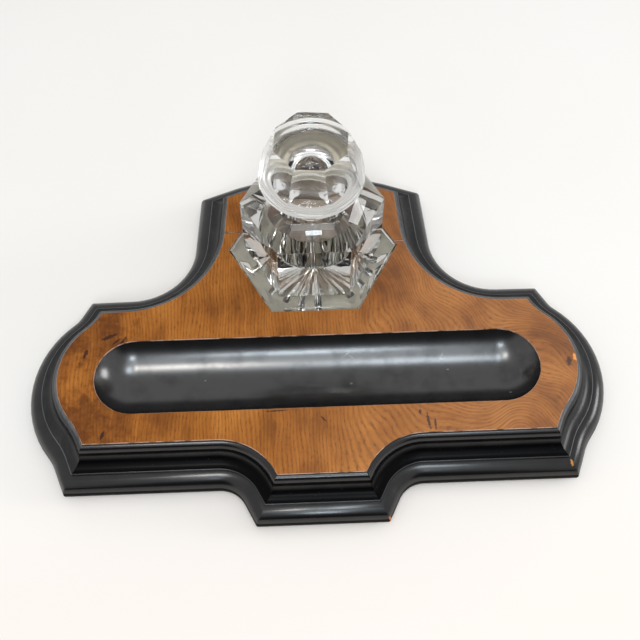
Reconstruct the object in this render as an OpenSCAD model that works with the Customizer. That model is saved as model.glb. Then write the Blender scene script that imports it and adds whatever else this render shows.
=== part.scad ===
// Desk inkstand: an ebonised base board and ogee moulding round a veneered top,
// with a carved pen tray and a hexagonal cut glass inkwell that has a faceted stopper.
// Origin under the middle of the stand, on the surface it rests on. X runs along the
// pen tray, Y runs from front to rear, Z is up. Millimetres.

/* [Stand outline, at the edge of the veneer] */
// Width of the tongue in the middle of the front edge
tongue_w = 45.8; // [36:0.2:56]
// How far the tongue stands out in front of the front edge
tongue_depth = 20.4; // [16:0.2:26]
// Angle at which the hollow curve beside the tongue leaves its corner
tongue_side_angle = 66; // [58:1:78]
// How far the front corners stand out past the ends of the tray
front_corner_past = 3.3; // [-2:0.1:8]
// Angle at which a side leaves the front corner
side_start_angle = 70; // [66:1:74]
// Radius of the hollow curve behind the front corner
side_front_r = 56; // [50:1:64]
// Turn of the hollow curve behind the front corner
side_front_turn = 18; // [14:1:22]
// Radius of the bulge of a side
bulge_r = 38.5; // [34:0.5:42]
// Turn of the bulge of a side
bulge_turn = 88; // [84:1:92]
// Radius of the hollow curve in front of the wing's tip
side_rear_r = 32; // [28:1:38]
// Turn of the hollow curve in front of the wing's tip
side_rear_turn = 23; // [19:1:26]
// Angle that the wing's rear edge falls away from square
wing_angle = 0.7; // [0:0.1:2]
// Radius of the large hollow curve behind each wing
rear_hollow_r = 55.5; // [48:0.5:58]
// Width between the two rear corners
rear_corner_w = 99; // [94:0.5:112]
// Depth from the tongue's edge to the rear corners
rear_corner_y = 175.8; // [168:0.2:190]
// Lean of the edge that runs forward from the rear corner
rear_side_lean = 3.8; // [1:0.2:6]
// Slope of the arched rear edge at its corners
rear_arch_slope = 23.5; // [16:0.5:30]

/* [Boards and veneer] */
// Thickness of the cloth under the base
baize_t = 0.8; // [0.5:0.1:1.5]
// How far the cloth stays back from the flat of the underside
baize_margin = 1.5; // [1:0.5:4]
// Thickness of the base board, which has a half-round edge
base_t = 13; // [10:0.5:16]
// Distance from the veneer's edge out to the centre of the half-round edge
nosing_out = 12.8; // [12:0.1:16]
// Distance of the glue joint in the base board behind the tongue's edge
base_joint_y = 134; // [126:0.5:140]
// Thickness of the core board under the veneer
core_t = 14; // [13:0.5:18]
// Thickness of the veneer
veneer_t = 1; // [0.8:0.1:1.4]
// Distance of the veneer's joint behind the inkwell's middle, on the middle line
veneer_joint_back = 7.6; // [2:0.2:12]
// Angle of the veneer's joint
veneer_joint_angle = 5.4; // [3:0.2:7]

/* [Ogee moulding] */
// Width of the moulding inside the veneer's edge, where the core meets it
moulding_lap = 2.5; // [1.5:0.1:3]
// How far the moulding's foot stands out from the veneer's edge
moulding_foot = 11.3; // [10:0.1:11.8]
// Height of the square fillet at the moulding's foot
fillet_h = 1.6; // [1:0.1:2.4]
// Depth of the quirk between the fillet and the cove
quirk = 0.4; // [0.2:0.1:0.8]
// How far the rounded top member stands out
ovolo_out = 3.4; // [2.6:0.1:4.2]
// Height of the rounded top member
ovolo_h = 4.4; // [3.6:0.1:5.4]

/* [Pen tray] */
// Length of the tray's opening
tray_length = 241; // [200:1:270]
// Width of the tray's opening
tray_w = 43.5; // [38:0.5:45]
// Depth of the trough below the core board's top
trough_depth = 12; // [9:0.5:12.4]
// Wall of the tray round its trough
tray_wall = 3; // [2:0.5:3.5]
// Width of veneer between the front edge and the tray's opening
tray_land = 16.4; // [12:0.1:18]
// Gap between the tray and its slot
tray_gap = 0.1; // [0.05:0.05:0.3]

/* [Inkwell] */
// Width of veneer left behind the recess, on the middle line
well_land = 5.9; // [5.6:0.1:12]
// Foot of the inkwell across its corners
foot_corners = 96; // [90:0.5:98]
// Thickness of the foot
foot_t = 9; // [8.5:0.1:11]
// Bright bevel on the foot's top edge
foot_bevel = 0.8; // [0.4:0.1:1.2]
// Width of the foot's flat border
foot_border = 4; // [3:0.1:4.4]
// Depth of the recess that holds the foot, below the veneer's face
recess_depth = 8; // [6:0.5:8.4]
// Gap round the foot in its recess
foot_gap = 0.6; // [0.4:0.1:1]
// Body of the inkwell across its corners
body_corners = 78.4; // [74:0.2:80]
// Rise of the sloped step between the foot's border and the body
step_rise = 1.2; // [0.6:0.1:2]
// Height of the body's sharp shoulder above the underside of the foot
shoulder_z = 53.4; // [48:0.2:58]
// Height of the neck's base above the underside of the foot
neck_z = 65; // [62:0.2:68]
// Hexagon at the top of the sloping shoulder, across its corners
neck_corners = 54; // [53:0.5:58]
// Outside diameter of the round collar
collar_d = 46.5; // [40:0.5:47]
// Height of the collar
collar_h = 5; // [4:0.2:6]
// Diameter of the ink chamber
chamber_d = 40; // [32:0.5:44]
// Height of the ink chamber's floor above the underside of the foot
chamber_floor_z = 25; // [14:0.5:28]
// Height at which the chamber starts to close in
chamber_shoulder_z = 45; // [42:0.5:48]
// Radius round the edge of the chamber's floor
chamber_floor_r = 5; // [2:0.5:8]
// Room between the chamber's mouth and the plug's lower end, on the radius
chamber_mouth_gap = 0.4; // [0.2:0.1:0.8]
// Number of cuts in the star under the foot
star_cuts = 20; // [12:2:24]
// Depth of a star cut at its outer end
star_depth = 1.6; // [0.8:0.1:2]
// Radius of the plain spot in the middle of the star
star_hub_r = 3.4; // [2:0.2:6]

/* [Stopper] */
// Diameter of the ground plug under the head
plug_d = 24; // [20:0.5:25]
// Length of the ground plug
plug_length = 18; // [14:0.5:19]
// Taper of the ground plug, added to its diameter over its length
plug_taper = 1.6; // [1:0.1:2]
// Gap between the ground plug and the neck, on the radius
plug_gap = 0.08; // [0.05:0.01:0.1]
// Gap between the head and the collar
head_gap = 0.8; // [0.5:0.1:1.5]
// Diameter of the head at its round rim
head_d = 55.8; // [50:0.2:58]
// Height from the underside of the head to its widest line
rim_h = 4.4; // [3.6:0.1:5.4]
// How far the round rim curls in under the head
rim_curl = 5.7; // [4:0.1:7]
// Height of the whole head
head_h = 31.9; // [26:0.1:34]
// Flat table on top of the head, across its corners
table_corners = 39.8; // [34:0.2:42]
// Turn of the stopper in the neck
stopper_turn = -5; // [-22:1:22]

/* [Screws] */
// Distance of the front screws from the middle
front_screw_x = 88; // [70:1:100]
// Distance of the rear screws in from the rear corners, both ways
rear_screw_inset = 10; // [9:0.5:12]
// Distance of the wing screws in from the wings' tips
wing_screw_inset = 20; // [16:1:30]
// Diameter of a screw's shank
shank_d = 3; // [2.5:0.1:3.4]
// Diameter of a screw's countersunk head
screw_head_d = 6.4; // [6:0.1:7.2]
// Length of a screw
screw_length = 22; // [20:0.5:24]
// Width of the slot in a screw's head
slot_w = 0.9; // [0.7:0.1:1.2]
// Depth of the slot in a screw's head
slot_depth = 1; // [0.8:0.1:1.2]
// Gap round a screw in its hole
screw_gap = 0.05; // [0.03:0.01:0.1]

/* [Hidden] */
$fn = 96;

// Colours of the finishes
ebony = [0.07, 0.07, 0.08];
walnut = [0.58, 0.31, 0.11];
pine = [0.72, 0.58, 0.38];
glass = [0.86, 0.9, 0.9, 0.45];
brass = [0.72, 0.58, 0.28];
baize = [0.12, 0.28, 0.2];

// Fineness of the curves: degrees of turn for each straight piece
arc_step = 5.5;
nosing_steps = 10;
profile_steps = 6;
round_steps = 8;
// Faces cut round the stopper's head, and half the angle that each of them takes
head_faces = 8;
half_face = 180 / head_faces;
// Width across the flats of a hexagon for each millimetre across its corners
hex_flat = cos(30);
// Shortest straight stretch that the outline keeps at the end of a bend
least_straight = 1;
// A cutting body reaches this far past the faces that it cuts
past = 1;

// Heights of the layers
base_z = baize_t;
core_z = base_z + base_t;
veneer_z = core_z + core_t;
top_z = veneer_z + veneer_t;
nosing_r = base_t / 2;

// ---- The outline, as lists of points that run round the stand anticlockwise ----

function heading(a) = [cos(a), sin(a)];
function outward(a) = [sin(a), -cos(a)];
function mirrored(points) = [for (i = [len(points) - 1:-1:0]) [-points[i].x, points[i].y]];
function cross2(a, b) = a.x * b.y - a.y * b.x;

// Points of an arc that starts at p with heading a, and turns left for a positive turn
function arc(p, a, r, turn) =
    let (side = turn > 0 ? 1 : -1, c = p - outward(a) * r * side,
         n = max(2, ceil(abs(turn) / arc_step)))
    [for (i = [1:n]) c + outward(a + turn * i / n) * r * side];
// Where the line through p with heading a meets the line through q with heading b
function meeting(p, a, q, b) =
    p + heading(a) * cross2(q - p, heading(b)) / cross2(heading(a), heading(b));
// A path from p with heading a to q with heading b, with one arc between. The arc's radius is
// r, or what the two straight stretches leave room for
function bend(p, a, q, b, r) =
    let (k = meeting(p, a, q, b), slope = tan(abs(b - a) / 2),
         cut = min(r * slope, norm(k - p) - least_straight, norm(q - k) - least_straight),
         start = k - heading(a) * cut)
    concat([p, start], arc(start, a, cut / slope, b - a), [q]);

tongue_corner = [tongue_w / 2, 0];
front_corner = [tray_length / 2 + front_corner_past, tongue_depth];
rear_corner = [rear_corner_w / 2, rear_corner_y];
wing_heading = 180 - wing_angle;

side_a = arc(front_corner, side_start_angle, side_front_r, -side_front_turn);
bulge_heading = side_start_angle - side_front_turn;
side_b = arc(side_a[len(side_a) - 1], bulge_heading, bulge_r, bulge_turn);
bulge_end = bulge_heading + bulge_turn;
side_c = arc(side_b[len(side_b) - 1], bulge_end, side_rear_r, -side_rear_turn);
wing_tip = side_c[len(side_c) - 1];

front_run = [[-tongue_corner.x, 0], tongue_corner];
tongue_hollow_r = tongue_depth / (1 - cos(tongue_side_angle));
front_right_run = concat([tongue_corner],
    arc(tongue_corner, tongue_side_angle, tongue_hollow_r, -tongue_side_angle), [front_corner]);
right_run = concat([front_corner], side_a, side_b, side_c);
rear_right_run = bend(wing_tip, wing_heading, rear_corner, 90 + rear_side_lean, rear_hollow_r);
arch_r = rear_corner.x / sin(rear_arch_slope);
right_arch = arc(rear_corner, 180 - rear_arch_slope, arch_r, rear_arch_slope);
rear_run = concat([rear_corner], right_arch,
    arc(right_arch[len(right_arch) - 1], 180, arch_r, rear_arch_slope));

runs = [
    front_run, front_right_run, right_run, rear_right_run, rear_run,
    mirrored(rear_right_run), mirrored(right_run), mirrored(front_right_run)
];
// The closed loop holds each corner once
loop = [for (run = runs, i = [0:len(run) - 2]) run[i]];
loop_n = len(loop);

// The mitre at each point: the way, for each millimetre of offset, to the offset outline
function unit(v) = v / norm(v);
function edge_normal(i) =
    let (e = unit(loop[(i + 1) % loop_n] - loop[i % loop_n])) [e.y, -e.x];
mitre = [for (i = [0:loop_n - 1])
    let (a = edge_normal(i + loop_n - 1), b = edge_normal(i)) (a + b) / (1 + a * b)];
function offset_loop(u) = [for (i = [0:loop_n - 1]) loop[i] + mitre[i] * u];

// The origin lies midway between the foremost and the rearmost point of the base board
nosing_edge = nosing_out + nosing_r;
front_y = -nosing_edge;
rear_y = rear_corner.y + arch_r * (1 - cos(rear_arch_slope)) + nosing_edge;
mid_y = (front_y + rear_y) / 2;
// Longer than anything across the stand
big = 2 * (rear_y - front_y);

// The tray and the inkwell stand in from the edges of the veneer
tray_y = tongue_depth + tray_land + tray_w / 2;
tray_reach = (tray_length - tray_w) / 2;
slot_r = tray_w / 2 + tray_wall + tray_gap;
well_y = rear_y - nosing_edge - well_land - foot_gap - foot_corners / 2 * hex_flat;
veneer_joint_y = well_y + veneer_joint_back;

// ---- Solids swept from the outline ----

function at_height(points, z) = [for (p = points) [p.x, p.y, z]];

// A solid through closed loops of equal length, from the lowest to the highest
module stack(rings) {
    n = len(rings[0]);
    m = len(rings);
    polyhedron(
        points = [for (r = rings) each r],
        faces = concat(
            [[for (i = [0:n - 1]) i]],
            [[for (i = [n - 1:-1:0]) (m - 1) * n + i]],
            [for (k = [0:m - 2], i = [0:n - 1]) let (j = (i + 1) % n)
                [k * n + i, (k + 1) * n + i, (k + 1) * n + j, k * n + j]]));
}

// A solid through sections of equal length, from the first to the last of an open path
module sweep(sections) {
    n = len(sections[0]);
    m = len(sections);
    polyhedron(
        points = [for (s = sections) each s],
        faces = concat(
            [[for (i = [n - 1:-1:0]) i]],
            [[for (i = [0:n - 1]) (m - 1) * n + i]],
            [for (k = [0:m - 2], i = [0:n - 1]) let (j = (i + 1) % n)
                [k * n + i, k * n + j, (k + 1) * n + j, (k + 1) * n + i]]));
}

module plate(u, z, t) translate([0, 0, z]) linear_extrude(t) polygon(offset_loop(u));

// Half of the space: everything in front of, or behind, a joint across the stand
module before_joint(y, angle = 0)
    translate([0, y, -past]) rotate(-angle) translate([-big, -2 * big, 0])
        cube([2 * big, 2 * big, big]);
module behind_joint(y, angle = 0)
    translate([0, y, -past]) rotate(-angle) translate([-big, 0, 0])
        cube([2 * big, 2 * big, big]);

// ---- Screws, with their heads down in the underside of the base board ----

front_screw_y = (tongue_depth + moulding_lap + tray_y - slot_r) / 2;
wing_screw_y = (tray_y + slot_r + wing_tip.y - moulding_lap) / 2;
screw_places = [for (side = [-1, 1]) each [
    [side * front_screw_x, front_screw_y],
    [side * (wing_tip.x - wing_screw_inset), wing_screw_y],
    [side * (rear_corner.x - rear_screw_inset), rear_corner.y - rear_screw_inset]
]];
head_cone_h = (screw_head_d - shank_d) / 2;

module screw_body(gap) {
    translate([0, 0, base_z]) {
        cylinder(d1 = screw_head_d + 2 * gap, d2 = shank_d + 2 * gap, h = head_cone_h);
        cylinder(d = shank_d + 2 * gap, h = screw_length + gap);
    }
}

module screw_holes() for (p = screw_places) translate([p.x, p.y, 0]) {
    screw_body(screw_gap);
    translate([0, 0, base_z - past]) cylinder(d = screw_head_d + 2 * screw_gap, h = past);
}

module wood_screws() color(brass) translate([0, -mid_y, 0])
    for (p = screw_places) translate([p.x, p.y, 0]) difference() {
        screw_body(0);
        translate([-screw_head_d, -slot_w / 2, base_z - past])
            cube([2 * screw_head_d, slot_w, slot_depth + past]);
    }

// ---- Base board, in two boards glued edge to edge ----

module base_blank() {
    stack([for (k = [0:nosing_steps])
        let (a = -90 + 180 * k / nosing_steps)
        at_height(offset_loop(nosing_out + nosing_r * cos(a)), base_z + nosing_r * (1 + sin(a)))]);
}

module base_board_front() color(ebony) translate([0, -mid_y, 0]) difference() {
    base_blank();
    behind_joint(base_joint_y);
    screw_holes();
}

module base_board_rear() color(ebony) translate([0, -mid_y, 0]) difference() {
    base_blank();
    before_joint(base_joint_y);
    screw_holes();
}

module baize_lining() color(baize) translate([0, -mid_y, 0])
    plate(nosing_out - baize_margin, 0, baize_t);

// ---- Core board and veneer, with the tray's slot and the inkwell's recess ----

module stadium(r, z, h) translate([0, tray_y, z]) linear_extrude(h) {
    square([2 * tray_reach, 2 * r], center = true);
    for (x = [-tray_reach, tray_reach]) translate([x, 0]) circle(r);
}

glass_z = top_z - recess_depth;

module recess() translate([0, well_y, glass_z])
    cylinder(d = foot_corners + 2 * foot_gap / hex_flat, h = recess_depth + past, $fn = 6);

module core_board() color(pine) translate([0, -mid_y, 0]) difference() {
    plate(-moulding_lap, core_z, core_t);
    stadium(slot_r, core_z - past, core_t + 2 * past);
    recess();
    screw_holes();
}

module veneer_front() color(walnut) translate([0, -mid_y, 0]) difference() {
    plate(0, veneer_z, veneer_t);
    behind_joint(veneer_joint_y, veneer_joint_angle);
    stadium(tray_w / 2, veneer_z - past, veneer_t + 2 * past);
    recess();
}

module veneer_rear() color(walnut) translate([0, -mid_y, 0]) difference() {
    plate(0, veneer_z, veneer_t);
    before_joint(veneer_joint_y, veneer_joint_angle);
    recess();
}

// ---- Pen tray: a block with a trough of circular section and rounded ends ----

trough_r = (pow(tray_w / 2, 2) + pow(trough_depth, 2)) / (2 * trough_depth);

module pen_tray() color(ebony) translate([0, -mid_y, 0]) difference() {
    stadium(tray_w / 2 + tray_wall, core_z, core_t);
    translate([0, tray_y, veneer_z - trough_depth + trough_r]) {
        rotate([0, 90, 0]) cylinder(r = trough_r, h = 2 * tray_reach, center = true);
        for (x = [-tray_reach, tray_reach]) translate([x, 0, 0]) sphere(trough_r);
    }
}

// ---- Ogee moulding, in eight lengths mitred at the corners of the outline ----

// The moulding's section: x is the distance out from the veneer's edge, y the height
cove_out = moulding_foot - quirk;
ovolo_z = core_t - ovolo_h;
cove_h = ovolo_z - fillet_h;
section = concat(
    [[-moulding_lap, 0], [moulding_foot, 0], [moulding_foot, fillet_h]],
    [for (i = [0:profile_steps]) let (a = 90 * i / profile_steps)
        [cove_out - (cove_out - ovolo_out) * sin(a), ovolo_z - cove_h * cos(a)]],
    [for (i = [1:profile_steps]) let (a = 90 * i / profile_steps)
        [ovolo_out * cos(a), ovolo_z + ovolo_h * sin(a)]],
    [[-moulding_lap, core_t]]);

// Index in the closed loop of the first point of a run
function run_start(k) = k == 0 ? 0 : run_start(k - 1) + len(runs[k - 1]) - 1;

module moulding(k) color(ebony) translate([0, -mid_y, core_z])
    sweep([for (i = [0:len(runs[k]) - 1])
        let (j = (run_start(k) + i) % loop_n)
        [for (s = section) [loop[j].x + mitre[j].x * s.x, loop[j].y + mitre[j].y * s.x, s.y]]]);

module moulding_front() moulding(0);
module moulding_front_right() moulding(1);
module moulding_right() moulding(2);
module moulding_rear_right() moulding(3);
module moulding_rear() moulding(4);
module moulding_rear_left() moulding(5);
module moulding_left() moulding(6);
module moulding_front_left() moulding(7);

// ---- Inkwell ----

module hexagon(corners, z, h) translate([0, 0, z]) cylinder(d = corners, h = h, $fn = 6);
module hexagon_slope(corners_a, corners_b, z, h)
    translate([0, 0, z]) cylinder(d1 = corners_a, d2 = corners_b, h = h, $fn = 6);

rim_z = neck_z + collar_h;
neck_bore_d = plug_d + 2 * plug_gap;
plug_end_z = rim_z + head_gap - plug_length;
border_corners = foot_corners - 2 * foot_border / hex_flat;
plug_end_d = neck_bore_d - plug_taper;

// The hollow inside: a round chamber that closes in to the neck's tapered bore
module chamber() {
    r = chamber_d / 2;
    mouth_r = plug_end_d / 2 + chamber_mouth_gap;
    rotate_extrude() polygon(concat(
        [[0, chamber_floor_z]],
        [for (i = [0:round_steps]) let (a = -90 + 90 * i / round_steps)
            [r - chamber_floor_r * (1 - cos(a)), chamber_floor_z + chamber_floor_r * (1 + sin(a))]],
        [[r, chamber_shoulder_z], [mouth_r, plug_end_z - past], [mouth_r, plug_end_z + past],
         [0, plug_end_z + past]]));
}

// The neck's bore widens upward with the plug's taper
module neck_bore() {
    widening = plug_taper * (plug_length - head_gap) / plug_length;
    translate([0, 0, plug_end_z])
        cylinder(d1 = plug_end_d, d2 = plug_end_d + widening, h = rim_z - plug_end_z);
    translate([0, 0, rim_z]) cylinder(d = neck_bore_d, h = past);
}

// V-shaped cuts that run out from near the middle of the underside and deepen as they go
module star() {
    reach = body_corners / 2 * hex_flat;
    tilt = atan(star_depth / reach);
    side = 2 * star_depth;
    for (i = [0:star_cuts - 1]) rotate(360 * i / star_cuts)
        rotate([0, -tilt, 0]) translate([star_hub_r, 0, -side * sqrt(0.5)]) rotate([45, 0, 0])
            translate([0, -side / 2, -side / 2]) cube([reach - star_hub_r, side, side]);
}

module inkwell() color(glass) translate([0, well_y - mid_y, glass_z]) difference() {
    union() {
        hexagon(foot_corners, 0, foot_t - foot_bevel);
        hexagon_slope(foot_corners, foot_corners - 2 * foot_bevel, foot_t - foot_bevel, foot_bevel);
        hexagon_slope(border_corners, body_corners, foot_t, step_rise);
        hexagon(body_corners, 0, shoulder_z);
        hexagon_slope(body_corners, neck_corners, shoulder_z, neck_z - shoulder_z);
        cylinder(d = collar_d, h = rim_z);
    }
    chamber();
    neck_bore();
    star();
}

// ---- Stopper: a ground plug under a round head that is cut with eight flat faces ----

module stopper() color(glass)
    translate([0, well_y - mid_y, glass_z + rim_z + head_gap]) rotate(stopper_turn) {
        head_r = head_d / 2;
        table_flat = table_corners * cos(half_face);
        spread = (head_d - table_flat) / (head_h - rim_h);
        intersection() {
            rotate_extrude() polygon(concat(
                [[0, 0]],
                [for (i = [0:round_steps]) let (a = -90 + 90 * i / round_steps)
                    [head_r - rim_curl * (1 - cos(a)), rim_h * (1 + sin(a))]],
                [[head_r, head_h], [0, head_h]]));
            rotate(half_face) cylinder(d1 = (table_flat + spread * head_h) / cos(half_face),
                d2 = table_corners, h = head_h, $fn = head_faces);
        }
        translate([0, 0, -plug_length])
            cylinder(d1 = plug_d - plug_taper, d2 = plug_d, h = plug_length + past);
    }

base_board_front();
base_board_rear();
core_board();
moulding_front();
moulding_front_right();
moulding_right();
moulding_rear_right();
moulding_rear();
moulding_rear_left();
moulding_left();
moulding_front_left();
veneer_front();
veneer_rear();
pen_tray();
inkwell();
stopper();
baize_lining();
wood_screws();
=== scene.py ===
"""Dresses the desk inkstand: ebonised boards and moulding, walnut veneer and cut glass.

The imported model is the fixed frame. Sizes in the classes are millimetres, and every mesh is
made in metres in the frame's own axes: X along the pen tray, Y from front to rear, Z up.
"""

from __future__ import annotations

import logging
import math
from dataclasses import dataclass, field, replace
from enum import Enum
from typing import Callable, Sequence, Union

import bmesh
import bpy
from mathutils import Matrix, Vector

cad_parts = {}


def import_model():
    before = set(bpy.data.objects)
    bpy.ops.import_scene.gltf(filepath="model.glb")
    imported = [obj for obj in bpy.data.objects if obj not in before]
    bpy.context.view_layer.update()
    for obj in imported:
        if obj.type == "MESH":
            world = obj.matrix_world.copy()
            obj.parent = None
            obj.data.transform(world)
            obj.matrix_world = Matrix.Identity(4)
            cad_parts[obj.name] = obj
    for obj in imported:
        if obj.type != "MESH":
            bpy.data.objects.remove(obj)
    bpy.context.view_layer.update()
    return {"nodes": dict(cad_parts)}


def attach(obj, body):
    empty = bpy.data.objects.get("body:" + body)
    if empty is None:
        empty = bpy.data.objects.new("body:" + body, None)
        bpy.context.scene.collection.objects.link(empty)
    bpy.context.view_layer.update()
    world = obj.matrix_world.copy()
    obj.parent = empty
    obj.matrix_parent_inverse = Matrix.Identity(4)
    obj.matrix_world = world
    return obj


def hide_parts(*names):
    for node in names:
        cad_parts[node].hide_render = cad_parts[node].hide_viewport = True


LOG = logging.getLogger("inkstand")
MM = 0.001
# The mesh layer that holds how far each point is rubbed: above 0 it paints a lighter grey that is partly
# wear and partly painted highlight and sheen
RUB = "rub"
# How far noise breaks up the outline of a mark, and how far out the mark fades
MARK_RAGGED = 3.2
MARK_EDGE = (1.35, 0.35)

Point = tuple[float, float]
# Where a soft step begins and where it is full
Edge = tuple[float, float]
Colour = tuple[float, float, float]
Input = Union["Field", float, Sequence[float]]
Chooser = Callable[[bpy.types.MeshPolygon], int]
# Features of a noise for each unit, its finer layers, and the share of each finer layer
Noise = tuple[float, float, float]


# ---------------------------------------------------------------------------------------------
# Shader expressions
# ---------------------------------------------------------------------------------------------


class Field:
    """A value that varies over a surface: one output socket of a material's node tree."""

    def __init__(self, tree: Tree, socket: bpy.types.NodeSocket) -> None:
        """Wraps a socket of the tree."""
        self.tree = tree
        self.socket = socket

    def _math(self, operation: str, *values: Input) -> Field:
        """Adds one Math node and returns its result."""
        return self.tree.node("Math", {"operation": operation}, dict(enumerate(values)))

    def __add__(self, other: Input) -> Field:
        """Sum."""
        return self._math("ADD", self, other)

    def __radd__(self, other: Input) -> Field:
        """Sum with the number first."""
        return self._math("ADD", other, self)

    def __sub__(self, other: Input) -> Field:
        """Difference."""
        return self._math("SUBTRACT", self, other)

    def __rsub__(self, other: Input) -> Field:
        """Difference with the number first."""
        return self._math("SUBTRACT", other, self)

    def __mul__(self, other: Input) -> Field:
        """Product."""
        return self._math("MULTIPLY", self, other)

    def __rmul__(self, other: Input) -> Field:
        """Product with the number first."""
        return self._math("MULTIPLY", other, self)

    def sine(self) -> Field:
        """Sine of the value, taken as radians."""
        return self._math("SINE", self)

    def cosine(self) -> Field:
        """Cosine of the value, taken as radians."""
        return self._math("COSINE", self)

    def size(self) -> Field:
        """The value without its sign."""
        return self._math("ABSOLUTE", self)

    def least(self, other: Input) -> Field:
        """The smaller of two values."""
        return self._math("MINIMUM", self, other)

    def most(self, other: Input) -> Field:
        """The larger of two values."""
        return self._math("MAXIMUM", self, other)

    def step(self, low: float, high: float) -> Field:
        """Rises smoothly from 0 at low to 1 at high, or falls where low is above high.

        Args:
            low: Value at which the result is 0.
            high: Value at which the result is 1.

        Returns:
            The smooth step, from 0 to 1.
        """
        ends = (0.0, 1.0) if low < high else (1.0, 0.0)
        sockets = dict(enumerate((self, min(low, high), max(low, high), *ends)))
        return self.tree.node("MapRange", {"interpolation_type": "SMOOTHSTEP"}, sockets)


class Tree:
    """The node tree of a material or a world."""

    def __init__(self, nodes: bpy.types.NodeTree) -> None:
        """Empties the tree that it is given."""
        self.nodes = nodes
        nodes.nodes.clear()

    def node(
        self,
        kind: str,
        settings: dict[str, object] | None = None,
        inputs: dict[int | str, Input] | None = None,
        output: int | str = 0,
    ) -> Field:
        """Adds one node.

        Args:
            kind: Node type, without its ShaderNode prefix.
            settings: Properties of the node, set before its sockets. "stops" holds the
                positions and colours of a ramp.
            inputs: Numbers, colours or fields for the sockets, by index or name.
            output: The output socket to return, by index or name.

        Returns:
            The named output of the new node.
        """
        made = self.nodes.nodes.new("ShaderNode" + kind)
        for name, value in (settings or {}).items():
            if name == "stops":
                self._set_stops(made.color_ramp, value)
            else:
                setattr(made, name, value)
        for key, value in (inputs or {}).items():
            if isinstance(value, Field):
                self.nodes.links.new(value.socket, made.inputs[key])
            else:
                made.inputs[key].default_value = value
        return Field(self, made.outputs[output]) if len(made.outputs) else Field(self, None)

    @staticmethod
    def _set_stops(ramp: bpy.types.ColorRamp, stops: Sequence[tuple[float, Colour]]) -> None:
        """Gives a colour ramp its stops.

        Args:
            ramp: The ramp.
            stops: Each stop's place from 0 to 1 and its colour.
        """
        while len(ramp.elements) < len(stops):
            ramp.elements.new(1.0)
        for element, (place, colour) in zip(ramp.elements, stops):
            element.position = place
            element.color = (*colour, 1.0)

    def place(self) -> Field:
        """The point on the surface in the piece's own axes, in millimetres."""
        here = self.node("TexCoord", output="Object")
        return self.vector("SCALE", here, scale=1 / MM)

    def attribute(self, name: str) -> Field:
        """A number that the mesh carries at its points."""
        return self.node("Attribute", {"attribute_name": name}, output="Fac")

    def vector(self, operation: str, *values: Input, scale: Input = 1.0) -> Field:
        """Vector arithmetic.

        Args:
            operation: Name of the operation, as Vector Math has it.
            values: The vectors that it takes.
            scale: Factor, where the operation takes one.

        Returns:
            The resulting vector, or the number for LENGTH.
        """
        inputs: dict[int | str, Input] = dict(enumerate(values))
        if operation == "SCALE":
            inputs["Scale"] = scale
        output = "Value" if operation == "LENGTH" else "Vector"
        return self.node("VectorMath", {"operation": operation}, inputs, output)

    def split(self, vector: Field) -> tuple[Field, Field, Field]:
        """The three parts of a vector.

        Args:
            vector: The vector.

        Returns:
            Its X, Y and Z.
        """
        made = self.node("SeparateXYZ", inputs={0: vector})
        outputs = made.socket.node.outputs
        return tuple(Field(self, outputs[i]) for i in range(3))

    def join(self, x: Input, y: Input, z: Input = 0.0) -> Field:
        """A vector from its three parts."""
        return self.node("CombineXYZ", inputs={0: x, 1: y, 2: z})

    def noise(
        self, vector: Field, scale: float, detail: float = 2.0, rough: float = 0.5, colour: bool = False
    ) -> Field:
        """Smooth noise from 0 to 1, or three separate noises in one colour."""
        inputs = {"Vector": vector, "Scale": scale, "Detail": detail, "Roughness": rough}
        return self.node("TexNoise", {}, inputs, "Color" if colour else "Fac")

    def mix(self, factor: Input, first: Input, second: Input) -> Field:
        """The colour between two, where a factor of 0 gives the first."""
        a, b = (c if isinstance(c, Field) else (*c, 1.0) for c in (first, second))
        return self.node("Mix", {"data_type": "RGBA", "clamp_factor": True}, {0: factor, 6: a, 7: b}, 2)

    def bump(self, height: Field, depth: float) -> Field:
        """A normal bent by a height in millimetres, where depth is the height of 1."""
        return self.node("Bump", {}, {"Strength": 1.0, "Distance": depth * MM, "Height": height}, "Normal")


class Finish:
    """A finish: makes one material, and keeps it for every piece that wears it."""

    title = "finish"

    def paint(self, tree: Tree) -> dict[str, Input]:
        """Builds what varies and returns the sockets of the Principled shader."""
        raise NotImplementedError

    def material(self) -> bpy.types.Material:
        """The material, made on first use.

        Returns:
            The material that holds this finish.
        """
        found = bpy.data.materials.get(self.title)
        if found:
            return found
        made = bpy.data.materials.new(self.title)
        made.use_nodes = True
        tree = Tree(made.node_tree)
        surface = tree.node("BsdfPrincipled", {}, self.paint(tree), "BSDF")
        tree.node("OutputMaterial", {}, {"Surface": surface})
        return made


@dataclass(frozen=True)
class Mark:
    """A small mark on a surface: a chip, a knot, a smudge or a scratch."""

    x: float
    y: float
    length: float
    width: float
    angle: float

    def mask(self, tree: Tree, place: Field, ragged: Field) -> Field:
        """Where the mark shows.

        Args:
            tree: The material's tree.
            place: Point on the surface in millimetres.
            ragged: Noise that breaks up the mark's outline.

        Returns:
            1 inside the mark, 0 outside.
        """
        x, y, _ = tree.split(place)
        c, s = math.cos(math.radians(self.angle)), math.sin(math.radians(self.angle))
        dx, dy = x - self.x, y - self.y
        along = (dx * c + dy * s) * (2 / self.length)
        across = (dy * c - dx * s) * (2 / self.width)
        away = along * along + across * across + (ragged - 0.5) * MARK_RAGGED
        return away.step(*MARK_EDGE)


def marks(tree: Tree, place: Field, group: Sequence[Mark], fineness: float) -> Field:
    """The masks of several marks together.

    Args:
        tree: The material's tree.
        place: Point on the surface in millimetres.
        group: The marks.
        fineness: Scale of the noise that breaks up their outlines.

    Returns:
        1 inside any of the marks, 0 outside.
    """
    ragged = tree.noise(place, fineness, 3.0, 0.6)
    total = group[0].mask(tree, place, ragged)
    for mark in group[1:]:
        total = total.most(mark.mask(tree, place, ragged))
    return total


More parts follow.
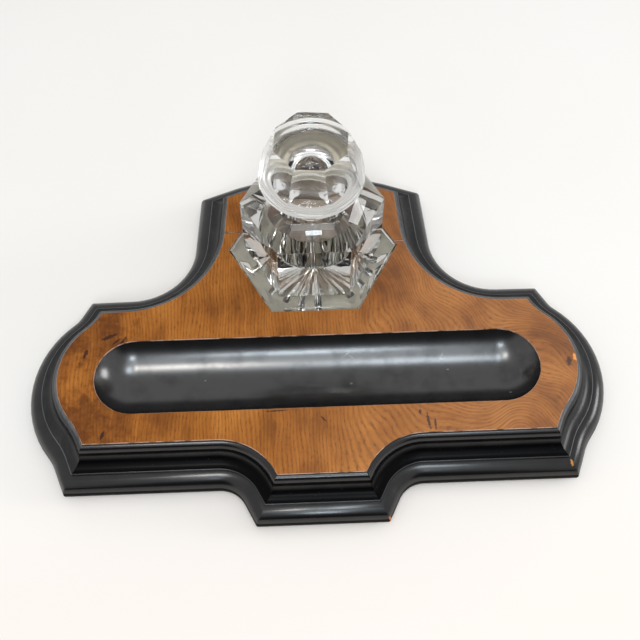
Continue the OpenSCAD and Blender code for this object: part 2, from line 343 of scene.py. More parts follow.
# ---------------------------------------------------------------------------------------------
# Finishes
# ---------------------------------------------------------------------------------------------


@dataclass(frozen=True)
class EbonisedWood(Finish):
    """Wood stained black and polished, rubbed at its edges, with a few knocks and some painted highlight
    and sheen.
    """

    title: str = "black_polish"
    # Noise features for each millimetre along X, Y and Z
    grain: tuple[float, float, float] = (0.05, 1.4, 1.4)
    streaks: Noise = (1.0, 3.0, 0.6)
    clouds: Noise = (0.045, 3.0, 0.55)
    waves: Noise = (0.085, 3.0, 0.6)
    fine: Noise = (1.5, 3.0, 0.6)
    dust: Noise = (0.9, 2.0, 0.5)
    dust_edge: Edge = (0.70, 0.78)
    rub_edge: Edge = (0.25, 0.95)
    dull_edge: Edge = (-0.05, -0.75)
    black: Colour = (0.0010, 0.0010, 0.0013)
    # Random cloudy tone in the black; the moulding's side and rear copy sets it lighter as painted sheen
    dust_and_sheen: Colour = (0.0042, 0.0042, 0.0048)
    # Lighter grey where rubbed: a little wear on the board's upper edge, painted highlight along the
    # moulding's fillet, and painted sheen on the side and rear lengths
    worn: Colour = (0.034, 0.034, 0.036)
    brown: Colour = (0.05, 0.022, 0.009)
    bare: Colour = (0.5, 0.22, 0.07)
    scratch: Colour = (0.11, 0.105, 0.095)
    coat: float = 0.70
    coat_rough: float = 0.21
    coat_ior: float = 1.70
    wood_ior: float = 1.5
    wood_sheen: float = 0.03
    relief: float = 0.03
    # How unevenly the polish has worn away
    patchy: float = 0.5
    # Height above the table below which the board's edge shows brown
    brown_below: float = 3.4
    brown_from: float = 6.2
    chips: tuple[Mark, ...] = (
        Mark(36.4, -111.7, 5.0, 1.8, -12),
        Mark(132.6, -86.6, 1.6, 3.6, 10),
        Mark(-90.0, 97.6, 3.0, 1.2, 0),
    )
    nicks: tuple[Mark, ...] = (
        Mark(16.4, -20.8, 6.0, 0.9, 25),
        Mark(19.4, -22.4, 4.0, 0.7, -30),
        Mark(68.7, -23.5, 5.0, 0.8, 62),
        Mark(69.2, -24.6, 3.6, 0.7, -12),
        Mark(18.3, -36.8, 1.5, 1.1, 0),
        Mark(72.0, -30.5, 1.6, 1.1, 0),
        Mark(-62.0, -32.0, 1.2, 1.0, 0),
        Mark(104.0, -47.5, 1.6, 1.1, 0),
    )

    def paint(self, tree: Tree) -> dict[str, Input]:
        """Black stain, bare wood where it has gone, browner towards the table, a lighter grey that is
        partly wear and partly painted highlight and sheen, and a coat of polish.

        Args:
            tree: The material's tree.

        Returns:
            What goes into each socket of the Principled shader.
        """
        place = tree.place()
        _, _, z = tree.split(place)
        rub = tree.attribute(RUB)
        streaks = tree.noise(tree.vector("MULTIPLY", place, self.grain), *self.streaks)
        cloud = tree.noise(place, *self.clouds)
        waves = tree.noise(place, *self.waves)
        fine = tree.noise(place, *self.fine)
        dust = tree.noise(place, *self.dust).step(*self.dust_edge)
        # Where the lighter grey goes: wear, and the painted highlight and sheen marked in the rub layer
        rubbed = (rub * (0.35 + cloud) * (0.5 + streaks)).step(*self.rub_edge)
        dull = (rub + (cloud - 0.5) * 0.3).step(*self.dull_edge)
        low = z.step(self.brown_from, self.brown_below)

        colour = tree.mix((cloud * streaks).step(0.18, 0.62) * 0.3, self.black, self.dust_and_sheen)
        colour = tree.mix(rubbed * 0.8, colour, self.worn)
        # Browner towards the table
        colour = tree.mix(low * (0.35 + cloud * 0.6), colour, self.brown)
        colour = tree.mix(dust * 0.25, colour, self.scratch)
        nicks = marks(tree, place, self.nicks, 1.9)
        colour = tree.mix(nicks * 0.85, colour, self.scratch)
        chips = marks(tree, place, self.chips, 0.9)
        colour = tree.mix(chips, colour, self.bare)

        rough = 0.30 + cloud * 0.12 + streaks * 0.08 + dust * 0.2 + chips * 0.4
        height = fine * 0.3 + streaks * 0.7 + waves * 7.0 - chips * 6.0 - nicks * 2.5
        whole = (0.97 - self.patchy * 0.5 + waves * self.patchy).least(1.0)
        coat = whole * (self.coat - dull * self.coat * 0.96)
        return {
            "Base Color": colour,
            "Roughness": rough,
            "IOR": self.wood_ior,
            "Specular IOR Level": self.wood_sheen,
            "Coat Weight": coat - rubbed * 0.25 - chips * 0.8,
            "Coat Roughness": self.coat_rough,
            "Coat IOR": self.coat_ior,
            "Normal": tree.bump(height, self.relief),
        }


@dataclass(frozen=True)
class WalnutFigure:
    """How the grain of the walnut runs: straight at the left and swirling at the right."""

    swirl_from: float = -10.0
    swirl_to: float = 120.0
    turn_degrees: float = 46.0
    wave_size: float = 62.0
    wave_reach: float = 34.0
    calm_reach: float = 9.0

    def lines(self, tree: Tree, place: Field) -> tuple[Field, Field]:
        """Coordinates that follow the grain.

        Args:
            tree: The material's tree.
            place: Point on the surface in millimetres.

        Returns:
            The distance across the grain and the distance along it.
        """
        x, _, _ = tree.split(place)
        wild = x.step(self.swirl_from, self.swirl_to)
        reach = self.calm_reach + wild * (self.wave_reach - self.calm_reach)
        wave = tree.noise(place, 1 / self.wave_size, 1.5, 0.45, colour=True)
        wave = tree.vector("SUBTRACT", wave, (0.5, 0.5, 0.5))
        bent = tree.vector("ADD", place, tree.vector("SCALE", wave, scale=reach * 2.0))
        bx, by, _ = tree.split(bent)
        turn = wild * math.radians(self.turn_degrees)
        cosine, sine = turn.cosine(), turn.sine()
        return bx * cosine + by * sine, by * cosine - bx * sine


@dataclass(frozen=True)
class WalnutVeneer(Finish):
    """Figured walnut under old polish."""

    title = "figured_walnut"
    light: Colour = (0.462, 0.172, 0.031)
    middle: Colour = (0.320, 0.108, 0.017)
    dark: Colour = (0.136, 0.041, 0.008)
    pore: Colour = (0.075, 0.024, 0.006)
    inky: Colour = (0.030, 0.012, 0.010)
    raw: Colour = (0.82, 0.30, 0.06)
    figure: WalnutFigure = WalnutFigure()
    # The broad tone, bands, hairs, pores and wander of the rings: features for each millimetre
    # across the grain and along it, finer layers, and the share of each
    stretched: tuple[tuple[float, float, float, float], ...] = (
        (0.09, 0.02, 3.0, 0.55),
        (0.42, 0.03, 2.0, 0.6),
        (1.2, 0.05, 1.0, 0.6),
        (1.5, 0.28, 1.0, 0.6),
        (0.05, 0.02, 1.0, 0.5),
    )
    clouds: Noise = (0.03, 3.0, 0.55)
    burrs: Noise = (0.16, 4.0, 0.65)
    # Turns of the fine growth rings for each millimetre across the grain, and their wander
    rings: float = 3.3
    ring_wobble: float = 30.0
    ring_depth: float = 0.34
    line_edge: Edge = (0.52, 0.66)
    burr_edge: Edge = (0.42, 0.66)
    tone_edge: Edge = (0.28, 0.70)
    joint_edge: Edge = (0.75, 0.2)
    # How strongly each mark colours the wood
    hair_share: float = 0.22
    fleck_share: float = 0.44
    stain_share: float = 0.86
    joint_share: float = 0.9
    joint_wander: float = 1.1
    wood_ior: float = 1.45
    wood_sheen: float = 0.14
    polish_rough: float = 0.34
    polish_ior: float = 1.55
    relief: float = 0.03
    # Left end where the figure turns to burr, and right end where the polish is thickest
    burr_from: float = -70.0
    burr_to: float = -125.0
    shine_from: float = -70.0
    shine_to: float = 110.0
    joint_y: float = 52.58
    joint_slope: float = -0.0945
    chips: tuple[Mark, ...] = (Mark(139.9, -31.9, 5.2, 2.6, 94),)
    stains: tuple[Mark, ...] = (
        Mark(136.0, -34.4, 5.4, 3.0, 80),
        Mark(-113.5, -9.6, 10.0, 2.2, 24),
        Mark(-106.6, -13.6, 9.0, 1.7, 62),
        Mark(-109.6, -12.6, 6.0, 1.3, 40),
        Mark(-126.0, -19.6, 6.0, 2.2, 74),
        Mark(-113.7, -68.2, 5.0, 2.0, 80),
        Mark(53.0, -61.0, 3.0, 1.8, 90),
        Mark(57.0, -66.4, 10.0, 1.6, 97),
        Mark(60.4, -67.8, 7.0, 1.2, 90),
        Mark(-22.5, -57.6, 14.0, 0.8, 2),
        Mark(92.8, -20.0, 3.4, 1.2, 40),
        Mark(2.0, -63.2, 5.0, 1.0, 130),
    )

    def paint(self, tree: Tree) -> dict[str, Input]:
        """Bands, streaks and pores along the grain, then stains, chips and the joint.

        Args:
            tree: The material's tree.

        Returns:
            What goes into each socket of the Principled shader.
        """
        place = tree.place()
        x, y, _ = tree.split(place)
        across, along = self.figure.lines(tree, place)
        burred = x.step(self.burr_from, self.burr_to)
        broad, bands, hairs, pores, wobble = (
            tree.noise(tree.join(across * wide, along * long), 1.0, layers, share)
            for wide, long, layers, share in self.stretched
        )
        ring = (across * self.rings + wobble * self.ring_wobble).sine() * 0.5 + 0.5
        cloud = tree.noise(place, *self.clouds)
        burr = tree.noise(place, *self.burrs)
        knotty = burred * (burr.step(*self.burr_edge) * 0.12 + 0.07)
        tone = broad * 0.40 + bands * 0.10 + cloud * 0.50 - knotty
        colour = tree.node(
            "ValToRGB",
            {"stops": [(0.0, self.dark), (0.45, self.middle), (1.0, self.light)]},
            {0: tone.step(*self.tone_edge)},
        )
        dark_hair = hairs.step(*self.line_edge)
        fleck = pores.step(*self.line_edge) * (0.25 + ring * 0.75)
        colour = tree.mix(ring * ring * self.ring_depth, colour, self.dark)
        colour = tree.mix(dark_hair * self.hair_share, colour, self.dark)
        colour = tree.mix(fleck * self.fleck_share, colour, self.pore)
        stains = marks(tree, place, self.stains, 1.1)
        colour = tree.mix(stains * self.stain_share, colour, self.inky)
        chips = marks(tree, place, self.chips, 0.6)
        colour = tree.mix(chips, colour, self.raw)
        wander = (tree.noise(place, 0.35, 2.0) - 0.5) * self.joint_wander
        joint = (y - x * self.joint_slope - self.joint_y + wander).size().step(*self.joint_edge)
        colour = tree.mix(joint * self.joint_share, colour, self.inky)

        shine = x.step(self.shine_from, self.shine_to) * (0.60 + cloud * 0.9)
        rough = 0.40 + hairs * 0.12 + stains * 0.15 + chips * 0.3
        height = hairs * 0.3 - fleck * 0.8 - chips * 5.0 - joint * 4.0
        return {
            "Base Color": colour,
            "Roughness": rough,
            "IOR": self.wood_ior,
            "Specular IOR Level": self.wood_sheen,
            "Coat Weight": shine,
            "Coat Roughness": self.polish_rough,
            "Coat IOR": self.polish_ior,
            "Normal": tree.bump(height, self.relief),
        }


@dataclass(frozen=True)
class VeneerEdge(Finish):
    """The cut edge of the veneer, rubbed down to pale wood in places."""

    title = "rubbed_veneer_edge"
    pale: Colour = (0.66, 0.42, 0.31)
    stained: Colour = (0.13, 0.055, 0.025)
    patches: Noise = (0.11, 3.0, 0.6)
    patch_edge: Edge = (0.36, 0.56)
    fibres: Noise = (1.3, 2.0, 0.6)
    relief: float = 0.03

    def paint(self, tree: Tree) -> dict[str, Input]:
        """Pale and stained lengths in turn.

        Args:
            tree: The material's tree.

        Returns:
            What goes into each socket of the Principled shader.
        """
        place = tree.place()
        worn = tree.noise(place, *self.patches).step(*self.patch_edge)
        fibre = tree.noise(place, *self.fibres)
        colour = tree.mix(worn * (0.55 + fibre * 0.6), self.stained, self.pale)
        return {
            "Base Color": colour,
            "Roughness": 0.55 + fibre * 0.15,
            "IOR": 1.45,
            "Normal": tree.bump(fibre, self.relief),
        }


@dataclass(frozen=True)
class CorePine(Finish):
    """Sawn softwood, with a pale lining pasted into the inkwell's recess."""

    title = "aged_pine"
    recess_y: float = 44.98
    recess_reach: float = 50.0
    recess_z: float = 21.4
    # How softly the lining ends outward and upward
    lining_end: float = 1.0
    lining_top: float = 0.1
    grain: tuple[float, float, float] = (0.02, 0.4, 0.4)
    rings: Noise = (1.0, 2.0, 0.5)
    grit: Noise = (1.2, 3.0, 0.6)
    tone_edge: Edge = (0.35, 0.75)
    relief: float = 0.08
    lining: Colour = (0.86, 0.83, 0.74)
    pale: Colour = (0.30, 0.17, 0.075)
    dark: Colour = (0.13, 0.062, 0.026)

    def paint(self, tree: Tree) -> dict[str, Input]:
        """Growth rings along the board, and the recess's lining.

        Args:
            tree: The material's tree.

        Returns:
            What goes into each socket of the Principled shader.
        """
        place = tree.place()
        _, _, z = tree.split(place)
        away = tree.vector("LENGTH", tree.vector("SUBTRACT", place, (0.0, self.recess_y, self.recess_z)))
        inside = away.step(self.recess_reach + self.lining_end, self.recess_reach)
        lined = inside * z.step(self.recess_z + self.lining_top, self.recess_z)
        rings = tree.noise(tree.vector("MULTIPLY", place, self.grain), *self.rings)
        grit = tree.noise(place, *self.grit)
        colour = tree.mix((rings * 0.8 + grit * 0.3).step(*self.tone_edge), self.pale, self.dark)
        colour = tree.mix(lined * (0.75 + grit * 0.25), colour, self.lining)
        return {
            "Base Color": colour,
            "Roughness": 0.75 + grit * 0.15,
            "Normal": tree.bump(rings + grit * 0.6, self.relief),
        }


@dataclass(frozen=True)
class CutGlass(Finish):
    """Clear lead glass, cut and polished."""

    title: str = "polished_cut_glass"
    tint: Colour = (0.965, 0.97, 0.96)
    film: Colour = (0.94, 0.94, 0.92)
    index: float = 1.53
    waves: Noise = (0.07, 1.5, 0.4)
    films: Noise = (0.16, 3.0, 0.6)
    film_edge: Edge = (0.40, 0.68)
    relief: float = 0.05

    def paint(self, tree: Tree) -> dict[str, Input]:
        """Clear glass whose polished faces are a little uneven, with a thin film in places.

        Args:
            tree: The material's tree.

        Returns:
            What goes into each socket of the Principled shader.
        """
        place = tree.place()
        uneven = tree.noise(place, *self.waves)
        film = tree.noise(place, *self.films).step(*self.film_edge)
        return {
            "Base Color": tree.mix(film, self.tint, self.film),
            "Roughness": 0.0,
            "IOR": self.index,
            "Transmission Weight": 1.0,
            "Normal": tree.bump(uneven, self.relief),
        }


@dataclass(frozen=True)
class GroundGlass(Finish):
    """Glass that was ground matt, where the plug seats in the neck."""

    title = "ground_neck_glass"
    tint: Colour = (0.90, 0.80, 0.56)
    index: float = 1.53
    rings: Noise = (3.0, 2.0, 0.6)
    matt: float = 0.36
    matt_change: float = 0.12

    def paint(self, tree: Tree) -> dict[str, Input]:
        """A fine, even matt with the rings of the grinding.

        Args:
            tree: The material's tree.

        Returns:
            What goes into each socket of the Principled shader.
        """
        place = tree.place()
        _, _, z = tree.split(place)
        rings = tree.noise(tree.join(0.0, 0.0, z), *self.rings)
        return {
            "Base Color": (*self.tint, 1.0),
            "Roughness": self.matt + rings * self.matt_change,
            "IOR": self.index,
            "Transmission Weight": 1.0,
        }


@dataclass(frozen=True)
class DullBrass(Finish):
    """Old brass screws."""

    title = "tarnished_brass"
    bright: Colour = (0.62, 0.44, 0.17)
    tarnish: Colour = (0.20, 0.13, 0.055)
    clouds: Noise = (0.7, 3.0, 0.6)
    cloud_edge: Edge = (0.35, 0.65)
    grit: Noise = (4.0, 2.0, 0.5)
    relief: float = 0.02

    def paint(self, tree: Tree) -> dict[str, Input]:
        """Tarnish in clouds over the metal.

        Args:
            tree: The material's tree.

        Returns:
            What goes into each socket of the Principled shader.
        """
        place = tree.place()
        cloud = tree.noise(place, *self.clouds)
        return {
            "Base Color": tree.mix(cloud.step(*self.cloud_edge), self.bright, self.tarnish),
            "Roughness": 0.3 + cloud * 0.3,
            "Metallic": 1.0,
            "Normal": tree.bump(tree.noise(place, *self.grit), self.relief),
        }


@dataclass(frozen=True)
class GreenBaize(Finish):
    """Woven wool cloth with a raised nap."""

    title = "green_baize"
    light: Colour = (0.055, 0.15, 0.085)
    dark: Colour = (0.02, 0.065, 0.035)
    # Waves of the weave in radians for each millimetre
    weave: float = 7.0
    nap: Noise = (1.4, 4.0, 0.7)
    tone_edge: Edge = (0.3, 0.75)
    sheen: float = 0.4
    relief: float = 0.15

    def paint(self, tree: Tree) -> dict[str, Input]:
        """Nap and the weave that shows through it.

        Args:
            tree: The material's tree.

        Returns:
            What goes into each socket of the Principled shader.
        """
        place = tree.place()
        x, y, _ = tree.split(place)
        weave = (x * self.weave).sine() * (y * self.weave).sine() * 0.5 + 0.5
        nap = tree.noise(place, *self.nap)
        tone = (nap * 0.8 + weave * 0.25).step(*self.tone_edge)
        return {
            "Base Color": tree.mix(tone, self.dark, self.light),
            "Roughness": 0.92,
            "Sheen Weight": self.sheen,
            "Sheen Roughness": 0.5,
            "Normal": tree.bump(nap + weave * 0.4, self.relief),
        }


# ---------------------------------------------------------------------------------------------
# Meshes
# ---------------------------------------------------------------------------------------------


class Cut(Enum):
    """How one closed mesh changes another."""

    AWAY = "DIFFERENCE"
    ADD = "UNION"
    KEEP = "INTERSECT"


class Solid:
    """A closed mesh on its way to becoming a piece."""

    def __init__(self, name: str, shape: bmesh.types.BMesh) -> None:
        """Links a new object that holds the shape, which is in metres.

        Args:
            name: Name of the object and of its mesh.
            shape: The shape, which is freed here.
        """
        bmesh.ops.remove_doubles(shape, verts=shape.verts, dist=1e-7)
        bmesh.ops.recalc_face_normals(shape, faces=shape.faces)
        mesh = bpy.data.meshes.new(name)
        shape.to_mesh(mesh)
        shape.free()
        self.object = bpy.data.objects.new(name, mesh)
        bpy.context.scene.collection.objects.link(self.object)

    def _apply(self) -> None:
        """Turns the modifiers into mesh."""
        graph = bpy.context.evaluated_depsgraph_get()
        mesh = bpy.data.meshes.new_from_object(self.object.evaluated_get(graph))
        old = self.object.data
        self.object.modifiers.clear()
        self.object.data = mesh
        bpy.data.meshes.remove(old)
        mesh.name = self.object.name

    def combine(self, other: Solid, how: Cut) -> Solid:
        """Cuts, adds or keeps the other solid, which is used up.

        Args:
            other: The other solid.
            how: What to do with it.

        Returns:
            This solid.
        """
        change = self.object.modifiers.new("change", "BOOLEAN")
        change.operation = how.value
        change.solver = "EXACT"
        change.object = other.object
        self._apply()
        mesh = other.object.data
        bpy.data.objects.remove(other.object)
        bpy.data.meshes.remove(mesh)
        return self

    def ease(self, width: float, degrees: float) -> Solid:
        """Takes the sharpness off the edges.

        Args:
            width: Width of the chamfer in millimetres.
            degrees: Smallest angle of an edge that is eased.

        Returns:
            This solid.
        """
        bevel = self.object.modifiers.new("ease", "BEVEL")
        bevel.width = width * MM
        bevel.segments = 1
        bevel.limit_method = "ANGLE"
        bevel.angle_limit = math.radians(degrees)
        self._apply()
        return self

    def smooth(self, degrees: float) -> Solid:
        """Shades the mesh smooth except across edges sharper than the angle.

        Args:
            degrees: The sharpest bend that is still smoothed.

        Returns:
            This solid.
        """
        mesh = self.object.data
        mesh.polygons.foreach_set("use_smooth", [True] * len(mesh.polygons))
        mesh.set_sharp_from_angle(angle=math.radians(degrees))
        return self

    def wear(self, *finishes: Finish, choose: Chooser | None = None) -> Solid:
        """Dresses the mesh.

        Args:
            finishes: The finishes, in order.
            choose: Gives the index of a face's finish, or None for the first everywhere.

        Returns:
            This solid.
        """
        mesh = self.object.data
        mesh.materials.clear()
        for finish in finishes:
            mesh.materials.append(finish.material())
        for face in mesh.polygons:
            face.material_index = choose(face) if choose else 0
        return self

    def place(self, body: str, slot: str, *nodes: str) -> bpy.types.Object:
        """Seats the piece in the frame.

        Args:
            body: The body that it rides on.
            slot: The record's material slot; not used.
            nodes: The CAD nodes that it stands for.

        Returns:
            The finished object.
        """
        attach(self.object, body)
        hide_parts(*nodes)
        count = len(self.object.data.polygons)
        LOG.info("%s: %d faces, on %s, for %s", self.object.name, count, body, ", ".join(nodes))
        return self.object


def skinned(
    name: str, rings: Sequence[Sequence[Vector]], rub: Callable[[int, int], float] = lambda k, i: 0.0
) -> Solid:
    """A solid skinned over closed rings of equal length, capped at both ends.

    Args:
        name: Name of the solid.
        rings: Rings of points in millimetres, from the lowest or nearest.
        rub: For a ring and a point on it, 1 where it is rubbed and painted the lighter grey of wear and
            painted sheen, 0, or -1 where no polish reached.

    Returns:
        The solid.
    """
    shape = bmesh.new()
    worn = shape.verts.layers.float.new(RUB)
    rows = []
    for k, ring in enumerate(rings):
        row = [shape.verts.new(point * MM) for point in ring]
        for i, vert in enumerate(row):
            vert[worn] = rub(k, i)
        rows.append(row)
    count = len(rows[0])
    for low, high in zip(rows, rows[1:]):
        for i in range(count):
            j = (i + 1) % count
            shape.faces.new((low[i], low[j], high[j], high[i]))
    shape.faces.new(reversed(rows[0]))
    shape.faces.new(rows[-1])
    return Solid(name, shape)


def turned(name: str, profile: Sequence[Point], centre: Vector, sides: int = 96) -> Solid:
    """A solid of revolution round a vertical axis.

    Args:
        name: Name of the solid.
        profile: Radius and height, from the axis at the bottom to the axis at the top.
        centre: Foot of the axis, in millimetres.
        sides: Number of sides.

    Returns:
        The solid.
    """
    shape = bmesh.new()
    rows = []
    for radius, height in profile:
        count = 1 if radius < 1e-6 else sides
        turns = [2 * math.pi * i / sides for i in range(count)]
        at = [centre + Vector((radius * math.cos(t), radius * math.sin(t), height)) for t in turns]
        rows.append([shape.verts.new(p * MM) for p in at])
    for low, high in zip(rows, rows[1:]):
        for i in range(sides):
            j = (i + 1) % sides
            corners = [low[i % len(low)], low[j % len(low)], high[j % len(high)], high[i % len(high)]]
            corners = [v for k, v in enumerate(corners) if v not in corners[:k]]
            if len(corners) > 2:
                shape.faces.new(corners)
    return Solid(name, shape)


def polygon(corners_d: float, sides: int, centre: Vector, height: float, turn: float = 0.0) -> list[Vector]:
    """The corners of a level regular polygon.

    Args:
        corners_d: Width across its corners.
        sides: Number of sides.
        centre: Foot of its axis.
        height: Height above the foot.
        turn: Turn in degrees.

    Returns:
        The corners, anticlockwise.
    """
    turns = [2 * math.pi * i / sides + math.radians(turn) for i in range(sides)]
    reach = corners_d / 2
    return [centre + Vector((reach * math.cos(t), reach * math.sin(t), height)) for t in turns]


# ---------------------------------------------------------------------------------------------
# The stand
# ---------------------------------------------------------------------------------------------


def heading(degrees: float) -> Vector:
    """The level direction at an angle."""
    return Vector((math.cos(math.radians(degrees)), math.sin(math.radians(degrees))))


def outward(degrees: float) -> Vector:
    """The direction to the right of a heading."""
    return Vector((math.sin(math.radians(degrees)), -math.cos(math.radians(degrees))))


@dataclass
class Outline:
    """The plan of the stand at the veneer's edge, as eight runs round it, anticlockwise."""

    tongue_w: float = 45.8
    tongue_depth: float = 20.4
    tongue_side_angle: float = 66.0
    front_corner_x: float = 123.8
    side_start_angle: float = 70.0
    side_front: Point = (56.0, 18.0)
    bulge: Point = (38.5, 88.0)
    side_rear: Point = (32.0, 23.0)
    wing_angle: float = 0.7
    rear_hollow_r: float = 55.5
    rear_corner: Point = (49.5, 175.8)
    rear_side_lean: float = 3.8
    rear_arch_slope: float = 23.5
    arc_step: float = 5.5
    runs: list[list[Vector]] = field(init=False)
    loop: list[Vector] = field(init=False)
    mitres: list[Vector] = field(init=False)
    mid_y: float = field(init=False)

    def __post_init__(self) -> None:
        """Works out the runs, the closed loop and the mitre at each of its points."""
        quarter = self._right_side()
        front = [Vector((-self.tongue_w / 2, 0)), Vector((self.tongue_w / 2, 0))]
        rear, rear_y = self._rear()
        mirrored = [[Vector((-p.x, p.y)) for p in reversed(run)] for run in reversed(quarter)]
        runs = [front, *quarter, rear, *mirrored]
        self.mid_y = rear_y / 2
        self.runs = [[Vector((p.x, p.y - self.mid_y)) for p in run] for run in runs]
        self.loop = [p for run in self.runs for p in run[:-1]]
        self.mitres = [self._mitre(i) for i in range(len(self.loop))]

    def _arc(self, start: Vector, angle: float, radius: float, turn: float) -> list[Vector]:
        """Points of an arc that leaves start with a heading, left for a positive turn.

        Args:
            start: Where the arc leaves.
            angle: Heading there, in degrees.
            radius: Radius in millimetres.
            turn: How far it turns to the left, in degrees.

        Returns:
            The points after start.
        """
        side = 1 if turn > 0 else -1
        centre = start - outward(angle) * radius * side
        count = max(2, math.ceil(abs(turn) / self.arc_step))
        return [centre + outward(angle + turn * i / count) * radius * side for i in range(1, count + 1)]

    def _right_side(self) -> list[list[Vector]]:
        """The three runs from the tongue round the right side to the rear corner.

        Returns:
            The hollow with its corner, the side, and the bend to the rear corner.
        """
        tongue = Vector((self.tongue_w / 2, 0))
        corner = Vector((self.front_corner_x, self.tongue_depth))
        hollow_r = self.tongue_depth / (1 - math.cos(math.radians(self.tongue_side_angle)))
        hollow = self._arc(tongue, self.tongue_side_angle, hollow_r, -self.tongue_side_angle)
        side, angle = [corner], self.side_start_angle
        for (radius, turn), sign in ((self.side_front, -1), (self.bulge, 1), (self.side_rear, -1)):
            side += self._arc(side[-1], angle, radius, sign * turn)
            angle += sign * turn
        wing, a = side[-1], 180 - self.wing_angle
        rear, b = Vector(self.rear_corner), 90 + self.rear_side_lean
        gap = rear - wing
        far = heading(b)
        cross = heading(a).x * far.y - heading(a).y * far.x
        meet = wing + heading(a) * ((gap.x * far.y - gap.y * far.x) / cross)
        cut = self.rear_hollow_r * math.tan(math.radians(abs(b - a) / 2))
        start = meet - heading(a) * cut
        bend = [wing, start, *self._arc(start, a, self.rear_hollow_r, b - a), rear]
        return [[tongue, *hollow, corner], side, bend]

    def _rear(self) -> tuple[list[Vector], float]:
        """The arched rear run, and how far back its crown reaches.

        Returns:
            The run's points, and the crown's Y.
        """
        corner, slope = Vector(self.rear_corner), self.rear_arch_slope
        radius = corner.x / math.sin(math.radians(slope))
        first = self._arc(corner, 180 - slope, radius, slope)
        return [corner, *first, *self._arc(first[-1], 180, radius, slope)], first[-1].y

    def _mitre(self, i: int) -> Vector:
        """The way from a point to the offset outline, for each millimetre of offset.

        Args:
            i: Index of the point in the loop.

        Returns:
            The mitre, as a vector.
        """
        points = self.loop
        before = (points[i] - points[i - 1]).normalized()
        after = (points[(i + 1) % len(points)] - points[i]).normalized()
        a, b = Vector((before.y, -before.x)), Vector((after.y, -after.x))
        return (a + b) / (1 + a.dot(b))

    def ring(self, offset: float, height: float) -> list[Vector]:
        """The outline moved outward.

        Args:
            offset: How far outward, in millimetres.
            height: Height of the ring.

        Returns:
            The ring's points.
        """
        moved = [p + m * offset for p, m in zip(self.loop, self.mitres)]
        return [Vector((p.x, p.y, height)) for p in moved]

    def run_start(self, k: int) -> int:
        """Index in the loop of the first point of a run."""
        return sum(len(run) - 1 for run in self.runs[:k])


@dataclass
class Levels:
    """Heights of the stand's layers above the table."""

    baize_t: float = 0.8
    base_t: float = 13.0
    core_t: float = 14.0
    veneer_t: float = 1.0

    @property
    def core(self) -> float:
        """Underside of the core board."""
        return self.baize_t + self.base_t

    @property
    def veneer(self) -> float:
        """Underside of the veneer."""
        return self.core + self.core_t

    @property
    def top(self) -> float:
        """Face of the veneer."""
        return self.veneer + self.veneer_t


@dataclass
class BaseBoard:
    """The base board with its half-round edge, in two boards glued edge to edge."""

    outline: Outline
    levels: Levels
    nosing_out: float = 12.8
    joint_y: float = 134.0
    # The nosing's upper curve is a round and its lower curve an oval, which meet at the belly
    upper_r: float = 8.84
    belly_drop: float = 2.3
    under_out: float = 6.0
    steps: int = 12
    flat_strip: float = 1.2
    dull_above: float = 2.5
    rubbed: float = 0.15
    unpolished: float = -1.0
    glue_gap: float = 0.06
    glue_edge: float = 0.1
    worn_corner: float = 0.4
    # Edges sharper than these, in degrees, are worn, eased at the glue line, or left crisp
    worn_angle: float = 30.0
    glue_angle: float = 60.0
    crease: float = 24.0

    def _blank(self, name: str) -> Solid:
        """The whole board before it is parted at the joint.

        Args:
            name: Name of the solid.

        Returns:
            The board.
        """
        half = self.levels.base_t / 2
        belly_out = self.nosing_out + half
        belly_z = self.levels.baize_t + half - self.belly_drop
        low, high = self.levels.baize_t, self.levels.baize_t + self.levels.base_t
        first = math.asin((high - belly_z) / self.upper_r)
        section = [(belly_out - self.under_out - self.flat_strip, low)]
        for k in range(self.steps + 1):
            a = math.pi / 2 * k / self.steps
            out = belly_out - self.under_out * (1 - math.sin(a))
            section.append((out, belly_z - (belly_z - low) * math.cos(a)))
        for k in range(1, self.steps + 1):
            a = first * k / self.steps
            out = belly_out - self.upper_r * (1 - math.cos(a))
            section.append((out, belly_z + self.upper_r * math.sin(a)))
        section.append((section[-1][0] - self.flat_strip, high))
        rings = [self.outline.ring(out, z) for out, z in section]
        rubs = [self.unpolished if z < belly_z + self.dull_above else self.rubbed for _, z in section]
        return skinned(name, rings, lambda k, _: rubs[k]).ease(self.worn_corner, self.worn_angle)

    def _half(self, name: str, rear: bool) -> Solid:
        """One of the two boards.

        Args:
            name: Name of the piece.
            rear: True for the board behind the joint.

        Returns:
            The board.
        """
        blank = self._blank(name)
        mesh = blank.object.data
        shape = bmesh.new()
        shape.from_mesh(mesh)
        bpy.data.objects.remove(blank.object)
        bpy.data.meshes.remove(mesh)
        way = 1 if rear else -1
        y = self.joint_y - self.outline.mid_y + way * self.glue_gap / 2
        cut = bmesh.ops.bisect_plane(
            shape,
            geom=[*shape.verts, *shape.edges, *shape.faces],
            plane_co=(0, y * MM, 0),
            plane_no=(0, way, 0),
            clear_inner=True,
        )
        edges = [e for e in cut["geom_cut"] if isinstance(e, bmesh.types.BMEdge)]
        bmesh.ops.edgeloop_fill(shape, edges=edges)
        return Solid(name, shape).ease(self.glue_edge, self.glue_angle).smooth(self.crease)

    def build(self) -> None:
        """Makes and seats both boards."""
        finish = EbonisedWood()
        for name, rear, node in (
            ("nosed_board_front", False, "base_board_front"),
            ("nosed_board_rear", True, "base_board_rear"),
        ):
            self._half(name, rear).wear(finish).place("stand", "ebonised_wood", node)


